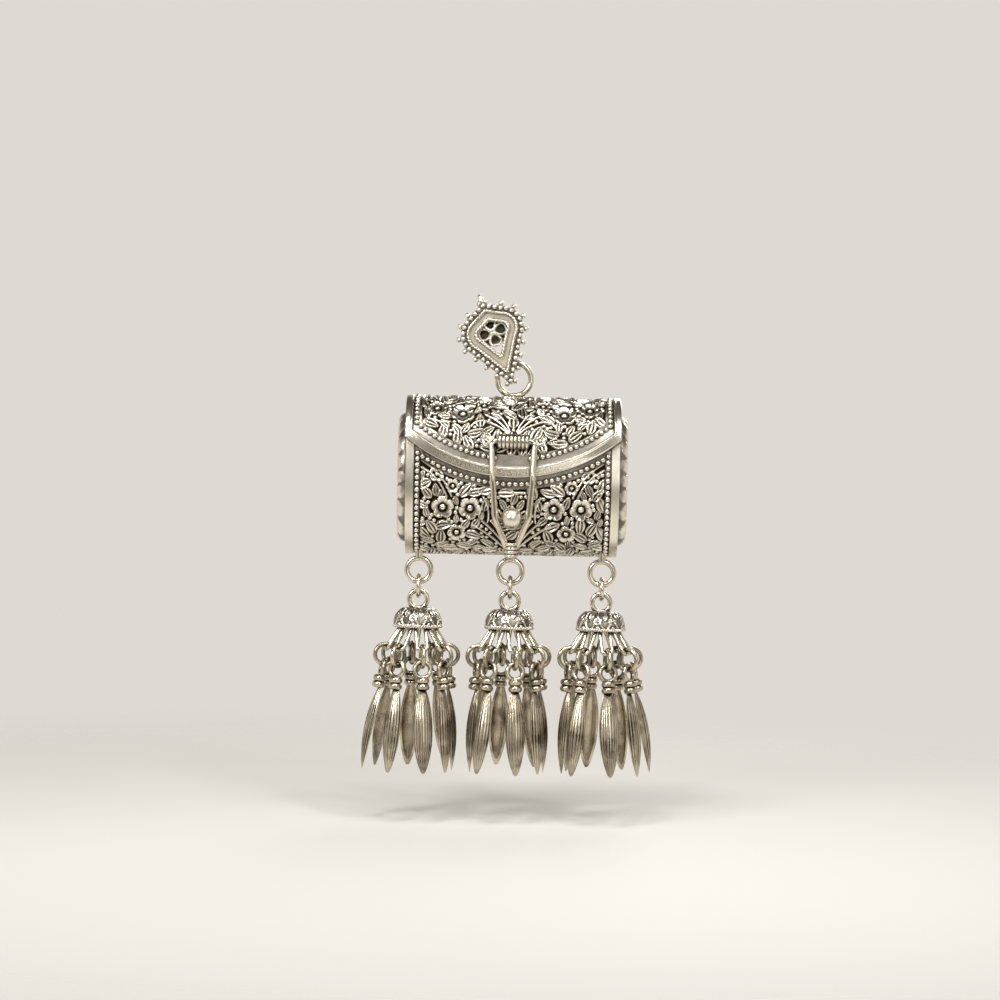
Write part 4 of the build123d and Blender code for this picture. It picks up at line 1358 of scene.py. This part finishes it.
@dataclass
class Bail:
    """The teardrop bail: plain plate, twisted wires, granules and an open wire flower."""

    tilt: float = math.radians(21.5)
    plate_back: float = -2.3
    plate: float = 0.8
    tip: float = -10.5
    shoulder: Place = (4.6, 7.4)
    widest: Place = (5.75, 10.4)
    crown: Place = (3.4, 13.8)
    length: float = 15.5
    heart: float = 9.0
    side_steps: int = 120
    crown_steps: int = 60
    search_angles: int = 600
    search_halvings: int = 26
    rope_places: int = 480
    rope_insets: Place = (1.3, 2.75)
    rope: float = 0.66
    rope_lift: float = 0.25
    lay: float = 1.15
    granule: float = 0.46
    row_inset: float = 0.4
    row_lift: float = 0.2
    row_count: int = 36
    rim_out: float = 0.9
    rim_swell: float = 1.05
    rim_lift: float = 0.6
    finial_clear: float = 1.6
    finial_bead: Place = (0.55, 0.1)
    finial: tuple[Place, ...] = ((0.1, 1.72), (0.26, 1.62), (0.5, 0.85), (0.66, 0.2), (0.6, 0.0))
    finial_sides: int = 20
    flower_up: float = 10.1
    flower_sink: float = 0.1
    petals: int = 4
    petal_reach: float = 1.5
    petal: float = 0.98
    petal_stretch: float = 1.05
    petal_flare: float = 0.22
    petal_wire: float = 0.46
    petal_lay: float = 0.62
    petal_steps: int = 80
    seed: float = 0.38
    seed_sink: float = 0.05

    def build(self) -> None:
        """Build and dress the bail."""
        out = self.plate + self.rope_lift
        paths = [self.lay_out(self.path(i, self.rope_places), out) for i in self.rope_insets]
        joined(rope(path, self.rope, self.lay) for path in paths).piece(
            "bail_twisted_wires", "bail", TWISTED_WIRE, ["bail_border_wires"]
        )
        self.granules()
        self.flower()
        dress(PLANISHED, "bail_plate")
        dress(TARNISHED, "bail_chain_tube")
        dress(DRAWN_WIRE, "bail_ring_staple")

    def lay_out(self, flat: np.ndarray, out: float) -> np.ndarray:
        """Points in the part's frame from places on the plate, raised above its back."""
        c, s = math.cos(self.tilt), math.sin(self.tilt)
        side, up = flat[:, 0], flat[:, 1] + self.tip
        depth = np.full(len(flat), self.plate_back - out)
        return np.stack([side * c - up * s, depth, side * s + up * c], 1)

    def outline(self) -> np.ndarray:
        """The plate's outline, from its tip round."""
        first = np.linspace((0, 0), self.shoulder, self.side_steps, endpoint=False)
        bend = arc_through(self.shoulder, self.widest, self.crown, self.side_steps)
        last = np.linspace(self.crown, (0, self.length), self.crown_steps)[1:]
        half = np.concatenate([first, bend, last])
        return np.concatenate([half, half[-2:0:-1] * (-1, 1)])

    def path(self, inset: float, count: int) -> np.ndarray:
        """Even places along the outline drawn in by an inset, from the tip round.

        Args:
            inset: how far in, or out if it is negative.
            count: how many places.

        Returns:
            Places across and up.
        """
        edge = self.outline()
        polar = np.unwrap(np.arctan2(edge[:, 1] - self.heart, edge[:, 0]))
        turn = np.linspace(-QUARTER, 1.5 * math.pi, self.search_angles, endpoint=False)
        limit = np.interp(turn, polar, np.hypot(edge[:, 0], edge[:, 1] - self.heart))
        low, high = np.zeros(len(turn)), limit * 1.5
        for _ in range(self.search_halvings):
            r = (low + high) / 2
            at = np.stack([r * np.cos(turn), self.heart + r * np.sin(turn)], 1)
            gap = np.sqrt(((at[:, None] - edge[None]) ** 2).sum(2)).min(1)
            inner = np.where(r < limit, gap, -gap) > inset
            low, high = np.where(inner, r, low), np.where(inner, high, r)
        loop = np.stack([low * np.cos(turn), self.heart + low * np.sin(turn)], 1)
        loop = np.concatenate([loop, loop[:1]])
        run = run_along(*loop.T)
        stops = np.linspace(0, run[-1], count, endpoint=False)
        return np.stack([np.interp(stops, run, loop[:, k]) for k in (0, 1)], 1)

    def granules(self) -> None:
        """The granule row, the granules outside it and the pointed finial."""
        row = self.lay_out(self.path(self.row_inset, self.row_count), self.plate + self.row_lift)
        rim = self.path(-self.granule * self.rim_out, self.row_count)[1::2]
        peak = np.array([0, self.length + self.finial_clear / 2])
        rim = rim[np.hypot(*(rim - peak).T) > self.finial_clear]
        rim_out, rim_size = self.plate * self.rim_lift, self.granule * self.rim_swell
        made = [ball(p, self.granule) for p in row]
        made += [ball(p, rim_size) for p in self.lay_out(rim, rim_out)]
        aside, above = self.finial_bead
        beside = np.array([[side * aside, self.length + above] for side in (-1, 1)])
        made += [ball(p, self.granule) for p in self.lay_out(beside, rim_out)]
        foot = self.lay_out(np.array([[0.0, self.length]]), self.plate / 2)[0]
        lean = Matrix.Translation(foot) @ Matrix.Rotation(-self.tilt, 4, "Y")
        made.append(turned(self.finial, self.finial_sides).placed(lean))
        joined(made).piece("bail_granulation", "bail", GRANULES, ["bail_granules"])

    def flower(self) -> None:
        """The open flower of four wire petals and four granules."""
        t = turns(self.petal_steps)
        wide = np.cos(t) * self.petal * self.petal_stretch
        high = np.sin(t) * self.petal * (1 + self.petal_flare * np.cos(t))
        petal = np.stack([wide, high], 1)
        made = []
        for i in range(self.petals):
            a = i * TAU / self.petals
            c, s = math.cos(a), math.sin(a)
            middle = np.array([c, s]) * self.petal_reach
            loop = petal @ np.array([[c, s], [-s, c]]) + middle + np.array([0, self.flower_up])
            wire = self.lay_out(loop, self.plate - self.flower_sink)
            made.append(rope(wire, self.petal_wire, self.petal_lay))
            b = a + TAU / self.petals / 2
            seed = np.array([[math.cos(b), math.sin(b) + self.flower_up / self.seed]]) * self.seed
            made.append(ball(self.lay_out(seed, self.plate - self.seed_sink)[0], self.seed))
        joined(made).piece("bail_wire_flower", "bail", GRANULES, ["bail_flower"])


@dataclass
class Latch:
    """The wire loop with its wrapped tip."""

    tip_top: Point = (4.197, -13.832, -37.525)
    tip_lean: float = 0.2809
    tip_radius: float = 1.25
    tip_length: float = 2.8
    tip_sides: int = 36
    wraps: int = 4
    wrap_steps: int = 10
    wrap_depth: float = 0.2

    def build(self) -> None:
        """Build and dress the loop."""
        z = np.linspace(0, -self.tip_length, self.wraps * self.wrap_steps + 1)
        wave = np.abs(np.sin(math.pi * self.wraps * z / self.tip_length))
        radius = self.tip_radius * (1 - self.wrap_depth + self.wrap_depth * np.sqrt(wave))
        tip = turned(list(zip(radius.tolist(), z.tolist())), self.tip_sides)
        tip.patina = np.repeat(smooth(0.55, 0.0, wave), self.tip_sides)
        lean = Matrix.Translation(self.tip_top) @ Matrix.Rotation(self.tip_lean, 4, "X")
        tip.placed(lean).piece("latch_wrapped_tip", "latch", DRAWN_WIRE, ["latch_tip"])
        dress(DRAWN_WIRE, "latch_loop")


@dataclass
class Tassel:
    """One tassel: bell cap with a twisted rim, hooks, and drops on jump rings.

    The jump ring and the eye are given as height, radius and wire, the collar beads as the top of
    the first, the height of one and its radius, and the cap's motifs as their share of the way down
    and then their sizes and height.
    """

    name: str
    number: int
    x: float
    turn: float = 11.25
    y: float = -6.5
    cap_top: float = -49.638
    cap_points: tuple[Place, Place, Place] = ((1.95, 0.0), (3.625, -1.15), (4.1, -3.5))
    cap_mean: float = 3.3
    cap_sides: int = 252
    cap_rings: int = 54
    cap_tone: float = 0.7
    cap_fade: Place = (0.3, 0.35)
    arches: int = 9
    arch_half: float = 0.46
    arch_span: Place = (0.97, 0.14)
    arch_sag: float = 0.3
    arch_wire: Place = (0.26, 0.2)
    cap_flower: Point = (0.6, 0.66, 0.3)
    cap_flower_petals: int = 6
    cap_berry: Point = (0.86, 0.26, 0.22)
    cap_leaf: tuple[float, float, float, float] = (0.4, 1.7, 0.8, 0.26)
    rim: float = 0.74
    rim_up: float = 0.3
    rim_lay: float = 0.85
    rim_places: int = 200
    hook_foot: Place = (5.5, -57.038)
    drops: int = 8
    last_number: int = 2
    lean: float = 10.0
    lean_spread: float = 2.0
    lean_step: float = 2.1
    facing: float = 40.0
    facing_lean: float = 4.0
    variants: int = 3
    jump: Point = (-1.0, 1.825, 0.375)
    jump_places: int = 56
    eye: Point = (-3.35, 1.4, 0.4)
    eye_places: int = 48
    wire_sides: int = 14
    beads: Point = (-4.75, 1.1, 1.2)
    bead_steps: int = 41
    bead_sides: int = 32
    bead_bulge: float = 0.38
    leaf_axis: float = -1.0
    leaf_cut: float = 0.6
    leaf_metal: float = 0.5
    leaf_points: tuple[Place, Place, Place] = ((0.85, -6.65), (1.85, -13.475), (0.64, -21.45))
    leaf_rings: int = 64
    leaf_outer: int = 89
    leaf_inner: int = 31
    leaf_seed: int = 20
    hollow_tone: float = 0.05
    hollow_flare: float = 1.12
    lines: int = 8
    line_reach: float = 0.86
    line_stray: float = 0.04
    line_width: float = 0.05
    line_depth: float = 0.1

    def build(self) -> None:
        """Build and dress the tassel."""
        self.cap()
        shapes = [self.drop(variant) for variant in range(self.variants)]
        for step in range(self.drops):
            drop = f"{self.name}_drop_{step + 1}"
            shapes[step % self.variants].placed(self.hang(step)).piece(
                f"{self.name}_leaf_drop_{step + 1}", drop, LINED_LEAF, [drop]
            )
        dress(DRAWN_WIRE, *(f"{self.name}_{part}" for part in ("link", "cap_ring", "hooks")))

    def hang(self, step: int) -> Matrix:
        """Where a drop hangs and how far it leans out."""
        a = math.radians(self.turn + step * 360 / self.drops)
        wave = math.sin(self.lean_step * (step + self.drops * self.number))
        lean = self.lean + self.lean_spread * wave
        side, near = math.cos(a), math.cos(math.radians(self.facing))
        if (side > near and self.number < self.last_number) or (side < -near and self.number > 0):
            lean = self.facing_lean
        out, height = self.hook_foot
        foot = (self.x + out * math.cos(a), self.y + out * math.sin(a), height)
        spin = Matrix.Rotation(a, 4, "Z") @ Matrix.Rotation(-math.radians(lean), 4, "Y")
        return Matrix.Translation(foot) @ spin

    def cap(self) -> None:
        """The bell cap, chased with arches round little flowers, and its twisted rim."""
        line = arc_through(*self.cap_points, self.cap_rings)
        way = np.gradient(line, axis=0)
        way /= np.hypot(*way.T)[:, None]
        normal = np.stack([-way[:, 1], way[:, 0]], 1)
        down = run_along(*line.T)
        turn = turns(self.cap_sides)
        work = Relief(*np.meshgrid(turn * self.cap_mean, -down))
        pitch, long = TAU * self.cap_mean / self.arches, float(down[-1])
        half, (foot, peak) = pitch * self.arch_half, self.arch_span
        for i in range(-1, self.arches + 1):
            u = (i + 0.5) * pitch
            for side in (-1, 1):
                arch = bow((u + side * half, -long * foot), (u, -long * peak), side * self.arch_sag)
                work.stem(arch, *self.arch_wire)
            low, radius, height = self.cap_flower
            work.flower(u, -long * low, radius, height, self.cap_flower_petals)
            low, radius, height = self.cap_berry
            work.berry(u, -long * low, radius, height)
            low, length, width, height = self.cap_leaf
            work.leaf(u + pitch / 2, -long * low, length, width, 270, 0.0, height)
        upper, lower = self.cap_fade
        work.height *= (smooth(0.0, upper, down) * smooth(long, long - lower, down))[:, None]
        radius, z = (line[:, k, None] + work.height * normal[:, k, None] for k in (0, 1))
        points = np.stack([radius * np.cos(turn), radius * np.sin(turn), z], -1).reshape(-1, 3)
        faces = flipped(stack_faces(self.cap_rings, self.cap_sides))
        bell = Shape(points, faces, self.cap_tone * work.patina(2).ravel())
        wide, low = self.cap_points[2]
        rim = circle((0, 0, low + self.rim_up), wide, (1, 0, 0), (0, 1, 0), self.rim_places)
        place = Matrix.Translation((self.x, self.y, self.cap_top))
        joined([bell, rope(rim, self.rim, self.rim_lay)]).placed(place).piece(
            f"{self.name}_bell_cap", f"{self.name}_tassel", CHASED, [f"{self.name}_cap"]
        )

    def drop(self, variant: int) -> Shape:
        """A jump ring with an eye, two collar beads and a hollow lined leaf, hung at the origin.

        Args:
            variant: which set of lines its leaf has.

        Returns:
            The drop, facing along X.
        """
        up = (0, 0, 1)
        z, radius, wire = self.jump
        path = circle((0, 0, z), radius, (1, 0, 0), up, self.jump_places)
        ring = tube(path, wire, self.wire_sides)
        z, radius, wire = self.eye
        path = circle((0, 0, z), radius, (0, 1, 0), up, self.eye_places)
        eye = tube(path, wire, self.wire_sides)
        top, high, wide = self.beads
        t = np.linspace(0, 2, self.bead_steps)
        bulge = dome(2 * (t % 1) - 1)
        bulge[-1] = 0
        radii = wide * (1 - self.bead_bulge + self.bead_bulge * bulge)
        collar = turned(list(zip(radii.tolist(), (top - high * t).tolist())), self.bead_sides)
        collar.patina = np.repeat(smooth(0.7, 0.1, bulge), self.bead_sides)
        return joined([ring, eye, collar, self.leaf(variant)])

    def leaf(self, variant: int) -> Shape:
        """The hollow leaf, lined outside and smooth inside."""
        draw = np.random.default_rng(self.leaf_seed + variant)
        line = arc_through(*self.leaf_points, self.leaf_rings)
        s = np.linspace(-1, 1, self.leaf_outer)
        stray = draw.uniform(-self.line_stray, self.line_stray, self.lines)
        cuts = np.linspace(-self.line_reach, self.line_reach, self.lines) + stray
        depths = draw.uniform(0.6, 1.0, self.lines)
        furrow = np.max(depths[:, None] * ridge(0, self.line_width, s - cuts[:, None]), 0)
        rings, tones = [], []
        for k, (radius, z) in enumerate(line):
            fade = math.sin(math.pi * (k / (self.leaf_rings - 1))) ** 0.5
            half = math.acos(min(1.0, self.leaf_cut / radius))
            r = radius - self.line_depth * fade * furrow
            rim = math.sqrt(max(radius**2 - self.leaf_cut**2, TINY))
            y = np.linspace(rim, -rim, self.leaf_inner + 2)[1:-1]
            hollow = (radius - self.leaf_metal * 0.6) ** 2 - y**2 * self.hollow_flare
            dish = np.maximum(self.leaf_cut, np.sqrt(np.clip(hollow, 0, None)))
            x = np.concatenate([r * np.cos(s * half), dish])
            y = np.concatenate([r * np.sin(s * half), y])
            rings.append(np.stack([self.leaf_axis + x, y, np.full(len(x), z)], 1))
            tones.append(np.concatenate([furrow * fade, np.full(len(dish), self.hollow_tone)]))
        faces = flipped(stack_faces(self.leaf_rings, self.leaf_outer + self.leaf_inner))
        return Shape(np.concatenate(rings), faces, np.concatenate(tones))


@dataclass
class Studio:
    """A pale floor under the hanging box, soft light, and the camera.

    A lamp has its name, its place from the middle of the view and its size in millimetres, and its
    power in watts. The floor's radius and fade are in metres.
    """

    middle: Point = (2.1, -12.0, -30.35)
    distance: float = 450.0
    view_width: float = 175.0
    sensor: float = 36.0
    roll: float = math.radians(-1.2)
    clip: Place = (0.01, 20)
    floor_gap: float = 9.0
    floor_radius: float = 1.2
    floor_sides: int = 96
    floor_fade: Place = (0.07, 0.26)
    floor_roughness: float = 0.7
    floor_colour: str = "#E0DDD7"
    sky_colour: str = "#DEDAD3"
    room_colour: str = "#6F685B"
    room_band: Place = (-1.0, -0.4)
    ceiling_colour: str = "#5A564E"
    ceiling_band: Place = (0.3, 0.75)
    lamps: tuple[tuple[str, Point, Place, float], ...] = (
        ("key", (-230, -330, 190), (120, 120), 0.85),
        ("spot_right", (150, -280, 240), (45, 45), 0.3),
        ("spot_left", (-70, -220, 320), (45, 45), 0.3),
        ("fill", (110, -420, 80), (150, 200), 0.22),
        ("top_strip", (20, -150, 280), (260, 60), 0.6),
        ("back_rim", (120, 300, 160), (200, 120), 0.4),
    )

    def build(self) -> None:
        """Set up the floor, the light and the camera."""
        bpy.context.scene.view_settings.view_transform = "Standard"
        self.camera()
        self.floor()
        self.world()
        for lamp in self.lamps:
            self.lamp(*lamp)

    def camera(self) -> None:
        """The camera, square to the front as in the photograph."""
        lens = bpy.data.cameras.new("camera")
        lens.sensor_width = self.sensor
        lens.lens = self.sensor * self.distance / self.view_width
        lens.clip_start, lens.clip_end = self.clip
        eye = bpy.data.objects.new("camera", lens)
        x, y, z = self.middle
        eye.location = Vector((x, y - self.distance, z)) * MM
        eye.rotation_euler = (QUARTER, self.roll, 0)
        bpy.context.scene.collection.objects.link(eye)
        bpy.context.scene.camera = eye

    def lamp(self, name: str, place: Point, size: Place, power: float) -> None:
        """One soft box that faces the object.

        Args:
            name: what it is called.
            place: its place from the middle of the view, in millimetres.
            size: its width and height in millimetres.
            power: its power in watts.
        """
        light = bpy.data.lights.new(name, "AREA")
        light.shape = "RECTANGLE"
        light.size, light.size_y = size[0] * MM, size[1] * MM
        light.energy = power
        lamp = bpy.data.objects.new(name, light)
        lamp.location = (Vector(self.middle) + Vector(place)) * MM
        lamp.rotation_euler = Vector(place).to_track_quat("Z", "Y").to_euler()
        bpy.context.scene.collection.objects.link(lamp)

    def floor(self) -> None:
        """A plain painted floor that fades into the background far away."""
        low = CAD_BOX[0].z - self.floor_gap * MM
        ring = circle((0, 0, low), self.floor_radius, (1, 0, 0), (0, 1, 0), self.floor_sides)
        mesh = bpy.data.meshes.new("floor")
        mesh.from_pydata(ring.tolist(), [], [tuple(range(self.floor_sides))])
        # Board with matt emulsion: an even pale tone with no gloss, clear where it fades out.
        paint = bpy.data.materials.new("matt_painted_board")
        paint.use_nodes = True
        paint.node_tree.nodes.clear()
        node = partial(add_node, paint.node_tree)
        place = node("ShaderNodeTexCoord").outputs["Object"]
        far = node("ShaderNodeVectorMath", {"operation": "LENGTH"}, {0: place})
        near_fade, far_fade = self.floor_fade
        fade = node(
            "ShaderNodeMapRange",
            {"interpolation_type": "SMOOTHSTEP", "From Min": near_fade, "From Max": far_fade},
            {"Value": far.outputs["Value"]},
        )
        board = node(
            "ShaderNodeBsdfPrincipled",
            {"Base Color": linear(self.floor_colour), "Roughness": self.floor_roughness},
        )
        clear = node("ShaderNodeBsdfTransparent")
        both = node(
            "ShaderNodeMixShader",
            links={0: fade.outputs["Result"], 1: board.outputs["BSDF"], 2: clear.outputs["BSDF"]},
        )
        node("ShaderNodeOutputMaterial", links={"Surface": both.outputs["Shader"]})
        mesh.materials.append(paint)
        made = bpy.data.objects.new("floor", mesh)
        bpy.context.scene.collection.objects.link(made)

    def world(self) -> None:
        """A pale room, darker in front and overhead, so that the metal has something to reflect."""
        world = bpy.data.worlds.new("studio")
        bpy.context.scene.world = world
        world.use_nodes = True
        world.node_tree.nodes.clear()
        node = partial(add_node, world.node_tree)
        way = node("ShaderNodeTexCoord").outputs["Generated"]
        parts = node("ShaderNodeSeparateXYZ", links={"Vector": way})
        rise, behind = (
            node(
                "ShaderNodeMapRange",
                {"interpolation_type": "SMOOTHSTEP", "From Min": band[0], "From Max": band[1]},
                {"Value": parts.outputs[axis]},
            ).outputs["Result"]
            for axis, band in (("Z", self.ceiling_band), ("Y", self.room_band))
        )
        walls = node(
            "ShaderNodeMix",
            {"data_type": "RGBA", 6: linear(self.room_colour), 7: linear(self.sky_colour)},
            {0: behind},
        )
        tone = node(
            "ShaderNodeMix",
            {"data_type": "RGBA", 7: linear(self.ceiling_colour)},
            {0: rise, 6: walls.outputs[2]},
        )
        glow = node("ShaderNodeBackground", {"Strength": 1.0}, {"Color": tone.outputs[2]})
        node("ShaderNodeOutputWorld", links={"Surface": glow.outputs["Background"]})


def main() -> None:
    """Build the studio and every sub-assembly."""
    logging.basicConfig(level=logging.INFO, format="%(name)s: %(message)s")
    Studio().build()
    Bail().build()
    Box().build()
    Lid().build()
    Latch().build()
    tassels = (("left", -12.003), ("middle", 4.197), ("right", 20.397))
    for number, (name, x) in enumerate(tassels):
        Tassel(name, number, x).build()


if __name__ == "__main__":
    main()
